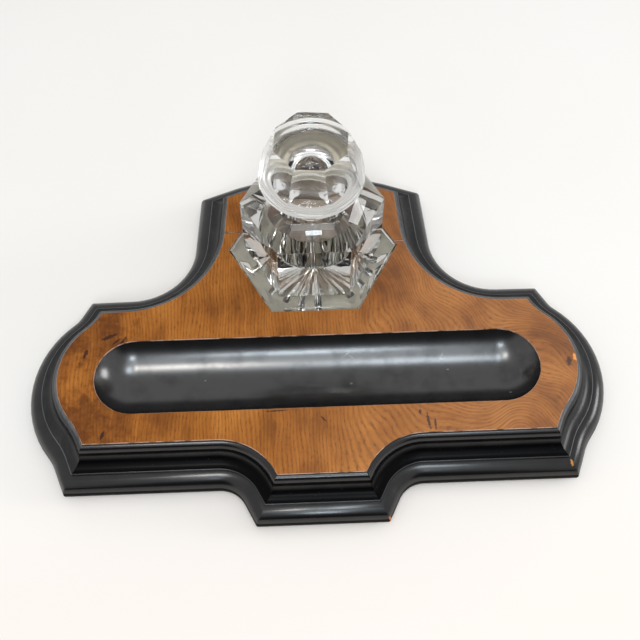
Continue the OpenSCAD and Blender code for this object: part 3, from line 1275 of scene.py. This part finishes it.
@dataclass
class OgeeMoulding:
    """The ogee moulding on the base, in eight lengths mitred at the outline's corners."""

    outline: Outline
    levels: Levels
    lap: float = 2.5
    foot: float = 11.3
    fillet_h: float = 1.6
    fillet_round: float = 0.45
    quirk: float = 0.4
    ovolo_out: float = 3.4
    ovolo_h: float = 4.4
    steps: int = 14
    fillet_steps: int = 4
    crease: float = 32.0
    unpolished: float = -1.0
    hairline: float = 0.03
    open_mitre: float = 0.22
    # Lighter black and grey for the side and rear lengths: painted sheen from the bright sides of the room
    dust_and_sheen: Colour = (0.018, 0.018, 0.020)
    painted_sheen_grey: Colour = (0.15, 0.153, 0.158)
    names: tuple[str, ...] = (
        "front", "front_right", "right", "rear_right", "rear", "rear_left", "left", "front_left",
    )
    # Painted sheen of the side and rear lengths: lighter grey all over, more in the hollow, and how narrow
    # it is at the top edge
    sheen_face: float = 0.24
    sheen_hollow: float = 0.16
    sheen_edge: float = 5.0
    sheen_lengths: tuple[str, ...] = ("right", "rear_right", "rear", "rear_left", "left")

    def _section(self, rubbed: float) -> list[tuple[float, float, float]]:
        """The section: distance out from the veneer's edge, height, and how far it is rubbed, which paints
        a lighter grey as painted highlight and sheen.

        Args:
            rubbed: How far the ovolo and the hollow get painted sheen, from 0 to 1.

        Returns:
            One point after another, from the underside round to the top.
        """
        height, cove_out = self.levels.core_t, self.foot - self.quirk
        ovolo_z = height - self.ovolo_h
        cove_h = ovolo_z - self.fillet_h
        points = [(-self.lap, 0.0, 0.0), (self.foot, 0.0, 0.0)]
        # The fillet is marked fully rubbed, which paints a highlight line along it
        for i in range(self.fillet_steps + 1):
            a = math.pi / 2 * i / self.fillet_steps
            out = self.foot - self.fillet_round * (1 - math.cos(a))
            points.append((out, self.fillet_h - self.fillet_round * (1 - math.sin(a)), 1.0))
        # The hollow: unpolished towards its foot on the front lengths, painted sheen on the side and rear
        # lengths
        for i in range(self.steps + 1):
            a = math.pi / 2 * i / self.steps
            out = cove_out - (cove_out - self.ovolo_out) * math.sin(a)
            worn = self.sheen_face + self.sheen_hollow * math.cos(a)
            rub = self.unpolished * math.cos(a) * (1 - rubbed) + rubbed * worn
            points.append((out, ovolo_z - cove_h * math.cos(a), rub))
        # The ovolo: painted sheen on the side and rear lengths, narrowing to its top edge
        for i in range(1, self.steps + 1):
            a = math.pi / 2 * i / self.steps
            rub = rubbed * (self.sheen_face + (1 - self.sheen_face) * math.sin(a) ** self.sheen_edge)
            points.append((self.ovolo_out * math.cos(a), ovolo_z + self.ovolo_h * math.sin(a), rub))
        points.append((-self.lap, height, 0.0))
        return points

    def _length(self, k: int) -> Solid:
        """One length of moulding.

        Args:
            k: Which run of the outline it follows.

        Returns:
            The length, with its ends cut back by a hairline at the mitres.
        """
        outline, section = self.outline, self._section(float(self.names[k] in self.sheen_lengths))
        run, first = outline.runs[k], outline.run_start(k)
        last = len(run) - 1
        sections = []
        for i in range(len(run)):
            j = (first + i) % len(outline.loop)
            point, mitre = outline.loop[j], outline.mitres[j]
            back = Vector((0.0, 0.0))
            if i in (0, last):
                step = run[1] - run[0] if i == 0 else run[-2] - run[-1]
                gap = self.open_mitre if (k, i) == (0, last) else self.hairline
                back = step.normalized() * gap
            at = [point + mitre * out + back for out, _, _ in section]
            z = self.levels.core
            sections.append([Vector((p.x, p.y, z + h)) for p, (_, h, _) in zip(at, section)])
        return skinned("ogee_" + self.names[k], sections, lambda _, i: section[i][2])

    def build(self) -> None:
        """Makes and seats the eight lengths."""
        lengthways = EbonisedWood()
        # The side and rear lengths wear a lighter copy of the polish: painted sheen from the bright room at
        # the sides
        rear = EbonisedWood(
            "black_polish_sheen_rear", dust_and_sheen=self.dust_and_sheen, worn=self.painted_sheen_grey, coat=0.5, coat_rough=0.3
        )
        sideways = replace(rear, title="black_polish_sheen_sides", grain=(1.4, 0.05, 1.4))
        for k, name in enumerate(self.names):
            finish = rear if name in self.sheen_lengths else lengthways
            if name in ("right", "left"):
                finish = sideways
            length = self._length(k).smooth(self.crease).wear(finish)
            length.place("stand", "ebonised_wood", "moulding_" + name)


@dataclass
class PenTray:
    """The trough for pens, let into the top."""

    outline: Outline
    levels: Levels
    length: float = 241.0
    width: float = 43.5
    depth: float = 12.0
    wall: float = 3.0
    land: float = 16.4
    slit: float = 0.02
    end_sides: int = 40
    steps: int = 36
    crease: float = 35.0

    @property
    def middle_y(self) -> float:
        """Middle line of the tray."""
        return self.outline.tongue_depth + self.land + self.width / 2 - self.outline.mid_y

    def stadium(self, radius: float, height: float) -> list[Vector]:
        """A slot-shaped ring round the tray's middle line.

        Args:
            radius: Half its width.
            height: Height of the ring.

        Returns:
            The ring's points, anticlockwise.
        """
        reach = (self.length - self.width) / 2
        ring = []
        for side, start in ((1, -math.pi / 2), (-1, math.pi / 2)):
            for i in range(self.end_sides + 1):
                a = start + math.pi * i / self.end_sides
                x, y = side * reach + radius * math.cos(a), self.middle_y + radius * math.sin(a)
                ring.append(Vector((x, y, height)))
        return ring

    def build(self) -> None:
        """Makes and seats the tray."""
        top, rim = self.levels.veneer, self.width / 2
        round_r = (rim**2 + self.depth**2) / (2 * self.depth)
        centre = top - self.depth + round_r
        rim_angle = math.acos((centre - top) / round_r)
        rings = [self.stadium(rim + self.wall, self.levels.core), self.stadium(rim + self.wall, top)]
        for k in range(self.steps):
            a = rim_angle * (1 - k / self.steps)
            rings.append(self.stadium(round_r * math.sin(a), centre - round_r * math.cos(a)))
        rings.append(self.stadium(self.slit, top - self.depth))
        tray = skinned("pen_trough", rings)
        polish = EbonisedWood("black_polish_tray", coat=1.0, coat_rough=0.23, coat_ior=1.88, patchy=1.2)
        tray.smooth(self.crease).wear(polish).place("stand", "ebonised_wood", "pen_tray")


@dataclass
class Veneer:
    """The two sheets of walnut, open over the tray and round the inkwell's foot."""

    outline: Outline
    levels: Levels
    tray: PenTray
    well: "Inkwell"
    joint_back: float = 7.6
    joint_angle: float = 5.4
    joint_gap: float = 0.16
    eased: float = 0.14
    eased_angle: float = 40.0
    crease: float = 20.0
    past: float = 1.0
    slab_reach: float = 400.0
    face_up: float = 0.9

    def _slab(self, rear: bool) -> Solid:
        """Everything on the far side of the joint, to cut away.

        Args:
            rear: True for the sheet behind the joint.

        Returns:
            The cutter.
        """
        far, gap = self.slab_reach, self.joint_gap / 2
        low, high = (-far, gap) if rear else (-gap, far)
        spin = Matrix.Rotation(-math.radians(self.joint_angle), 2)
        joint = Vector((0.0, self.well.middle.y + self.joint_back))
        rings = []
        for z in (self.levels.veneer - self.past, self.levels.top + self.past):
            corners = [Vector(c) for c in ((-far, low), (far, low), (far, high), (-far, high))]
            rings.append([(joint + spin @ c).to_3d() + Vector((0.0, 0.0, z)) for c in corners])
        return skinned("slab", rings)

    def _sheet(self, name: str, rear: bool) -> Solid:
        """One sheet.

        Args:
            name: Name of the piece.
            rear: True for the sheet behind the joint.

        Returns:
            The sheet, with its faces dressed.
        """
        low, high = self.levels.veneer, self.levels.top
        sheet = skinned(name, [self.outline.ring(0.0, low), self.outline.ring(0.0, high)])
        sheet.combine(self._slab(rear), Cut.AWAY)
        if not rear:
            mouth = [self.tray.stadium(self.tray.width / 2, z) for z in (low - self.past, high + self.past)]
            sheet.combine(skinned("mouth", mouth), Cut.AWAY)
        sheet.combine(self.well.recess(self.past), Cut.AWAY)
        return sheet.ease(self.eased, self.eased_angle).smooth(self.crease)

    def build(self) -> None:
        """Makes and seats both sheets."""
        for name, rear, node in (
            ("walnut_sheet_front", False, "veneer_front"),
            ("walnut_sheet_rear", True, "veneer_rear"),
        ):
            sheet = self._sheet(name, rear)
            sheet.wear(WalnutVeneer(), VeneerEdge(), choose=lambda face: int(face.normal.z < self.face_up))
            sheet.place("stand", "walnut_veneer", node)


# ---------------------------------------------------------------------------------------------
# The glass
# ---------------------------------------------------------------------------------------------


@dataclass
class Inkwell:
    """The cut glass inkwell: a hexagonal body on a wider foot, with a round ink chamber."""

    outline: Outline
    levels: Levels
    foot_corners: float = 96.0
    foot_clear: float = 0.08
    foot_t: float = 9.0
    foot_bevel: float = 0.8
    foot_border: float = 4.0
    recess_depth: float = 8.0
    foot_gap: float = 0.6
    well_land: float = 5.9
    body_corners: float = 78.4
    step_rise: float = 1.2
    shoulder_z: float = 53.4
    neck_z: float = 65.0
    neck_corners: float = 54.0
    collar_d: float = 46.5
    collar_h: float = 5.0
    chamber_d: float = 40.0
    chamber_floor_z: float = 25.0
    chamber_shoulder_z: float = 45.0
    chamber_floor_r: float = 5.0
    mouth_gap: float = 0.4
    star_cuts: int = 24
    star_depth: float = 2.2
    star_half_width: float = 1.6
    star_hub_r: float = 1.0
    star_hub_depth: float = 0.5
    star_hub_half: float = 0.4
    star_turn: float = 0.2
    star_reach: float = 37.0
    kick_h: float = 18.0
    plug_d: float = 24.0
    plug_length: float = 18.0
    plug_taper: float = 1.6
    plug_gap: float = 0.08
    ground_h: float = 5.0
    head_gap: float = 0.8
    arris: float = 0.22
    arris_angle: float = 12.0
    crease: float = 26.0
    rim_bevel: float = 0.5
    sunk: float = 1.0
    ground_past: float = 0.5
    skin: float = 0.1
    sides: int = 128
    chamber_steps: int = 10
    # Straight run of the bore by the plug's end, and how far the cutters reach past a face
    bore_run: float = 1.0
    past: float = 2.0

    @property
    def hex_flat(self) -> float:
        """Width across a hexagon's flats for each millimetre across its corners."""
        return math.cos(math.radians(30))

    @property
    def middle(self) -> Vector:
        """The inkwell's axis, at the underside of its foot.

        Returns:
            The point, in millimetres.
        """
        crown = max(p.y for p in self.outline.loop)
        reach = self.foot_corners / 2 * self.hex_flat
        y = crown - self.well_land - self.foot_gap - reach
        return Vector((0.0, y, self.levels.top - self.recess_depth))

    @property
    def rim_z(self) -> float:
        """Height of the collar's rim above the underside."""
        return self.neck_z + self.collar_h

    @property
    def plug_end_z(self) -> float:
        """Height of the plug's lower end above the underside."""
        return self.rim_z + self.head_gap - self.plug_length

    def recess(self, past: float) -> Solid:
        """The hollow in the top that holds the foot.

        Args:
            past: How far the cutter runs out above the veneer.

        Returns:
            The cutter.
        """
        corners = self.foot_corners + 2 * self.foot_gap / self.hex_flat
        heights = (0.0, self.recess_depth + past)
        return skinned("recess", [polygon(corners, 6, self.middle, h) for h in heights])

    def _body(self) -> Solid:
        """The cut outside, without its collar.

        Returns:
            The glass from its foot to its neck.
        """
        border = self.foot_corners - 2 * self.foot_border / self.hex_flat
        levels = (
            (self.foot_clear, self.foot_corners),
            (self.foot_t - self.foot_bevel, self.foot_corners),
            (self.foot_t, self.foot_corners - 2 * self.foot_bevel),
            (self.foot_t, border),
            (self.foot_t + self.step_rise, self.body_corners),
            (self.shoulder_z, self.body_corners),
            (self.neck_z, self.neck_corners),
        )
        rings = [polygon(corners, 6, self.middle, z) for z, corners in levels]
        return skinned("glass_well", rings).ease(self.arris, self.arris_angle)

    def _hollow(self) -> Solid:
        """The chamber and the neck's bore, to cut away.

        Returns:
            The cutter.
        """
        r, floor, round_r = self.chamber_d / 2, self.chamber_floor_z, self.chamber_floor_r
        steps, run, past = self.chamber_steps, self.bore_run, self.past
        end_r = (self.plug_d - self.plug_taper) / 2 + self.plug_gap
        profile = [(0.0, floor)]
        for i in range(steps + 1):
            a = math.pi / 2 * (i / steps - 1)
            profile.append((r - round_r * (1 - math.cos(a)), floor + round_r * (1 + math.sin(a))))
        mouth_r, end = end_r + self.mouth_gap, self.plug_end_z
        rim_r = end_r + self.plug_taper / 2 * (self.rim_z - end) / self.plug_length
        profile += [(r, self.chamber_shoulder_z), (mouth_r, end - run), (mouth_r, end + run)]
        profile += [(end_r + self.plug_taper / 2 / self.plug_length * run, end + run), (rim_r, self.rim_z)]
        profile += [(rim_r, self.rim_z + past), (0.0, self.rim_z + past)]
        return turned("hollow", profile, self.middle, self.sides)

    def _cut_star(self, glass: Solid) -> None:
        """Cuts the star under the foot.

        Args:
            glass: The inkwell, which gets one V-shaped cut after another.
        """
        reach, sunk = self.star_reach, self.sunk
        under = [(0.0, -sunk), (reach, -sunk), (reach, 0.0), (0.0, self.kick_h)]
        glass.combine(turned("kick", under, self.middle), Cut.AWAY)
        shape = bmesh.new()
        hub = (self.star_hub_r, self.star_hub_depth, self.star_hub_half)
        tip = (reach, self.star_depth, self.star_half_width)
        for i in range(self.star_cuts):
            spin = Matrix.Rotation(2 * math.pi * (i + self.star_turn) / self.star_cuts, 3, "Z")
            triangles = []
            for r, deep, half in (hub, tip):
                z = self.kick_h * (1 - r / reach)
                wide = half * (deep + sunk) / deep
                corners = ((r, 0.0, z + deep), (r, -wide, z - sunk), (r, wide, z - sunk))
                triangles.append([shape.verts.new((self.middle + spin @ Vector(p)) * MM) for p in corners])
            near, far = triangles
            for j in range(3):
                shape.faces.new((near[j], near[(j + 1) % 3], far[(j + 1) % 3], far[j]))
            shape.faces.new(near)
            shape.faces.new(reversed(far))
        glass.combine(Solid("star", shape), Cut.AWAY)

    def build(self) -> None:
        """Makes and seats the inkwell."""
        glass = self._body()
        collar_r, ease, root = self.collar_d / 2, self.rim_bevel, self.past
        collar = [(0.0, root), (collar_r, root), (collar_r, self.rim_z - ease)]
        collar += [(collar_r - ease, self.rim_z), (0.0, self.rim_z)]
        glass.combine(turned("collar", collar, self.middle, self.sides), Cut.ADD)
        glass.combine(self._hollow(), Cut.AWAY)
        self._cut_star(glass)
        ground_low = (self.middle.z + self.rim_z - self.ground_h) * MM
        ground_r = (self.plug_d / 2 + self.ground_past) * MM
        centre = self.middle * MM
        floor_z = (self.middle.z + self.chamber_floor_z - self.skin) * MM
        chamber_r = (self.chamber_d / 2 + self.skin) * MM

        def which(face: bpy.types.MeshPolygon) -> int:
            """1 for a face of the neck's bore, 2 for one of the chamber, else 0.

            Args:
                face: A face of the mesh.

            Returns:
                Number of the finish.
            """
            away = math.hypot(face.center.x - centre.x, face.center.y - centre.y)
            if face.center.z > ground_low:
                return int(away < ground_r and abs(face.normal.z) < 0.5)
            return 2 if face.center.z > floor_z and away < chamber_r else 0

        # The chamber's glass is tinted dark brown: painted shade inside the chamber
        stained = CutGlass("painted_shade_chamber_glass", tint=(0.40, 0.34, 0.29), film=(0.22, 0.18, 0.15))
        # The well's glass has a greyer tint than the stopper's
        old = CutGlass("greyed_cut_glass", tint=(0.82, 0.81, 0.775), film=(0.70, 0.685, 0.64))
        glass.smooth(self.crease).wear(old, GroundGlass(), stained, choose=which)
        glass.place("inkwell", "cut_glass", "inkwell")


@dataclass
class Stopper:
    """The ground stopper: a plug under a round head that is cut with eight flat faces."""

    well: Inkwell
    head_d: float = 55.8
    rim_h: float = 4.4
    seat_r: float = 12.5
    ripples: int = 4
    ripple_h: float = 0.3
    ground_r: float = 20.0
    head_h: float = 31.9
    dome_h: float = 8.0
    table_corners: float = 39.8
    faces: int = 8
    turn: float = -5.0
    arris: float = 0.2
    arris_angle: float = 26.0
    crease: float = 20.0
    lap: float = 1.0
    blank_sides: int = 160
    blank_steps: int = 72
    dome_steps: int = 16
    facing_down: float = -0.3
    clear_band: float = 0.5

    def _head(self, foot: Vector) -> Solid:
        """The head: the turned blank where it lies inside the cut faces.

        Args:
            foot: Middle of the head's underside.

        Returns:
            The head.
        """
        half = 180 / self.faces
        flat = math.cos(math.radians(half))
        table = self.table_corners * flat
        spread = (self.head_d - table) / (self.head_h - self.rim_h)
        below = (table + spread * self.head_h) / flat
        ends = ((0.0, below), (self.head_h, self.table_corners))
        cut = [polygon(d, self.faces, foot, z, half + self.turn) for z, d in ends]
        head_r, above = self.head_d / 2, self.head_h + self.lap
        profile = [(0.0, 0.0)]
        for i in range(self.blank_steps):
            part = i / self.blank_steps
            ripple = self.ripple_h * (0.5 - 0.5 * math.cos(2 * math.pi * self.ripples * part))
            profile.append((self.seat_r + (head_r - self.seat_r) * part, self.rim_h * part + ripple))
        profile += [(head_r, self.rim_h), (head_r, above), (0.0, above)]
        head = skinned("glass_stopper", cut)
        head.combine(turned("blank", profile, foot, self.blank_sides), Cut.KEEP)
        return head.ease(self.arris, self.arris_angle)

    def build(self) -> None:
        """Makes and seats the stopper."""
        well = self.well
        foot = well.middle + Vector((0.0, 0.0, well.rim_z + well.head_gap))
        end_r, top_r = (well.plug_d - well.plug_taper) / 2, well.plug_d / 2
        bend = [math.pi / 2 * i / self.dome_steps for i in range(self.dome_steps)]
        plug = [(end_r * math.sin(a), -well.plug_length + self.dome_h * (1 - math.cos(a))) for a in bend]
        band_r = top_r - well.plug_taper / 2 * well.ground_h / well.plug_length
        plug += [(end_r, self.dome_h - well.plug_length), (band_r, -well.ground_h)]
        plug += [(top_r, 0.0), (top_r, self.lap), (0.0, self.lap)]
        stopper = self._head(foot).combine(turned("plug", plug, foot, well.sides), Cut.ADD)
        seat = foot.z * MM

        def which(face: bpy.types.MeshPolygon) -> int:
            """1 for a face that was ground, 2 for one of the plug's end, tinted dark as painted shade, else
            0.

            Args:
                face: A face of the mesh.

            Returns:
                Number of the finish.
            """
            depth = (seat - face.center.z) / MM
            if depth > well.plug_length - self.dome_h:
                return 2
            away = math.hypot(face.center.x, face.center.y - foot.y * MM) / MM
            under = face.normal.z < self.facing_down and -self.rim_h < depth and away < self.ground_r
            return int(under or self.clear_band < depth < well.ground_h)

        # The plug's end is tinted dark brown: painted shade where it looks into the dark chamber
        stained = CutGlass("painted_shade_plug_end", tint=(0.40, 0.33, 0.27), film=(0.22, 0.17, 0.13))
        stopper.smooth(self.crease).wear(CutGlass(), GroundGlass(), stained, choose=which)
        stopper.place("stopper", "cut_glass", "stopper")


# ---------------------------------------------------------------------------------------------
# What stays as it was packed, and the studio
# ---------------------------------------------------------------------------------------------


def dress_node(node: bpy.types.Object, finish: Finish) -> None:
    """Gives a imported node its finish.

    Args:
        node: The node's object.
        finish: The finish that it wears.
    """
    slots = node.data.materials
    for i in range(len(slots)):
        slots[i] = finish.material()
    if not slots:
        slots.append(finish.material())
    LOG.info("%s: kept as packed, %s", node.name, finish.title)


@dataclass(frozen=True)
class PaleFloor(Finish):
    """A plain pale floor."""

    title = "pale_floor"
    colour: Colour = (0.855, 0.835, 0.812)
    shade: Colour = (0.834, 0.793, 0.748)
    # Painted shade: warmer and darker toward the front
    front: Colour = (0.835, 0.765, 0.715)
    painted_shade_from: float = -40.0
    painted_shade_to: float = -170.0
    soft: Noise = (0.006, 1.0, 0.4)

    def paint(self, tree: Tree) -> dict[str, Input]:
        """One pale colour with a very soft change over it, and painted shade that makes it warmer and
        darker in front.

        Args:
            tree: The material's tree.

        Returns:
            What goes into each socket of the Principled shader.
        """
        place = tree.place()
        _, y, _ = tree.split(place)
        painted_shade_front = y.step(self.painted_shade_from, self.painted_shade_to)
        colour = tree.mix(tree.noise(place, *self.soft), self.colour, self.shade)
        colour = tree.mix(painted_shade_front, colour, self.front)
        return {"Base Color": colour, "Roughness": 0.9, "Specular IOR Level": 0.1}


@dataclass(frozen=True)
class Panel:
    """A soft rectangular lamp that looks at the middle of the stand."""

    name: str
    place: tuple[float, float, float]
    width: float
    height: float
    radiance: float
    colour: Colour = (1.0, 1.0, 1.0)

    def light(self) -> None:
        """Makes the lamp."""
        data = bpy.data.lights.new(self.name, "AREA")
        data.shape = "RECTANGLE"
        data.size, data.size_y = self.width, self.height
        data.energy = self.radiance * math.pi * self.width * self.height
        data.color = self.colour
        lamp = bpy.data.objects.new(self.name, data)
        lamp.location = self.place
        aim = Vector((0.0, 0.0, 0.0)) - Vector(self.place)
        lamp.rotation_euler = aim.to_track_quat("-Z", "Y").to_euler()
        bpy.context.scene.collection.objects.link(lamp)


@dataclass
class Studio:
    """The floor, the lamps, the world and the camera."""

    floor_half: float = 6.0
    floor_z: float = -0.0001
    room: Colour = (0.74, 0.74, 0.74)
    dark_side: Colour = (0.05, 0.05, 0.05)
    # How far toward the front the dark side starts and is full, as parts of a direction's length
    dark_edge: Edge = (-0.70, -0.88)
    camera_place: tuple[float, float, float] = (-0.00587, -0.27451, 0.50622)
    pitch: float = 1.0542773
    yaw: float = 0.0302081
    roll: float = -0.0084506
    focal_px: float = 989.94
    image_px: float = 640.0
    sensor_mm: float = 36.0
    nearest: float = 0.01
    panels: tuple[Panel, ...] = (
        Panel("lamp_left", (-0.227, -0.513, 1.30), 0.19, 0.24, 18.8, (1.0, 0.95, 0.89)),
        Panel("lamp_right", (0.206, -0.411, 1.30), 0.29, 0.26, 9.0, (0.80, 0.91, 1.0)),
        Panel("lamp_front", (0.0, -1.343, 1.30), 0.36, 0.22, 17.6, (0.80, 0.91, 1.0)),
        Panel("ceiling", (0.0, -0.62, 1.30), 0.75, 0.85, 1.94, (0.84, 0.94, 1.0)),
        Panel("window_right", (1.35, 0.12, 0.52), 0.45, 0.40, 7.9),
    )

    def _floor(self) -> None:
        """A large level floor just under the baize."""
        shape = bmesh.new()
        reach = self.floor_half
        corners = ((-reach, -reach), (reach, -reach), (reach, reach), (-reach, reach))
        shape.faces.new([shape.verts.new((x, y, self.floor_z)) for x, y in corners])
        floor = Solid("floor", shape).wear(PaleFloor())

    def _world(self) -> None:
        """Even light from all round, but for a dark side in front of the tongue.

        The camera itself sees no dark side, so the ground behind the stand stays plain.
        """
        world = bpy.data.worlds.new("room")
        bpy.context.scene.world = world
        world.use_nodes = True
        tree = Tree(world.node_tree)
        _, toward_rear, _ = tree.split(tree.node("TexCoord", output="Generated"))
        seen = tree.node("LightPath", output="Is Camera Ray")
        dark = toward_rear.step(*self.dark_edge) * (1 - seen)
        light = tree.node("Background", {}, {0: tree.mix(dark, self.room, self.dark_side), 1: 1.0})
        tree.node("OutputWorld", {}, {"Surface": light})

    def _camera(self) -> None:
        """The camera at the measured place and angle."""
        data = bpy.data.cameras.new("camera")
        data.sensor_width = self.sensor_mm
        data.lens = self.focal_px / self.image_px * self.sensor_mm
        data.clip_start = self.nearest
        cosine = math.cos(self.pitch)
        ahead = Vector((math.sin(self.yaw) * cosine, math.cos(self.yaw) * cosine, -math.sin(self.pitch)))
        level = Vector((math.cos(self.yaw), -math.sin(self.yaw), 0.0))
        above = level.cross(ahead)
        right = level * math.cos(self.roll) + above * math.sin(self.roll)
        up = above * math.cos(self.roll) - level * math.sin(self.roll)
        turn = Matrix((right, up, -ahead)).transposed().to_4x4()
        camera = bpy.data.objects.new("camera", data)
        camera.matrix_world = Matrix.Translation(self.camera_place) @ turn
        bpy.context.scene.collection.objects.link(camera)
        bpy.context.scene.camera = camera

    def build(self) -> None:
        """Sets up the whole studio."""
        bpy.context.scene.view_settings.view_transform = "Standard"
        self._camera()
        self._world()
        self._floor()
        for panel in self.panels:
            panel.light()
        LOG.info("studio: %d lamps, a floor and a camera", len(self.panels))


def main() -> None:
    """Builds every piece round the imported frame."""
    logging.basicConfig(level=logging.INFO, format="%(name)s: %(message)s")
    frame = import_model()
    Studio().build()
    outline, levels = Outline(), Levels()
    tray = PenTray(outline, levels)
    well = Inkwell(outline, levels)
    BaseBoard(outline, levels).build()
    OgeeMoulding(outline, levels).build()
    tray.build()
    Veneer(outline, levels, tray, well).build()
    well.build()
    Stopper(well).build()
    dress_node(frame["nodes"]["core_board"], CorePine())
    dress_node(frame["nodes"]["baize_lining"], GreenBaize())
    dress_node(frame["nodes"]["wood_screws"], DullBrass())


if __name__ == "__main__":
    main()
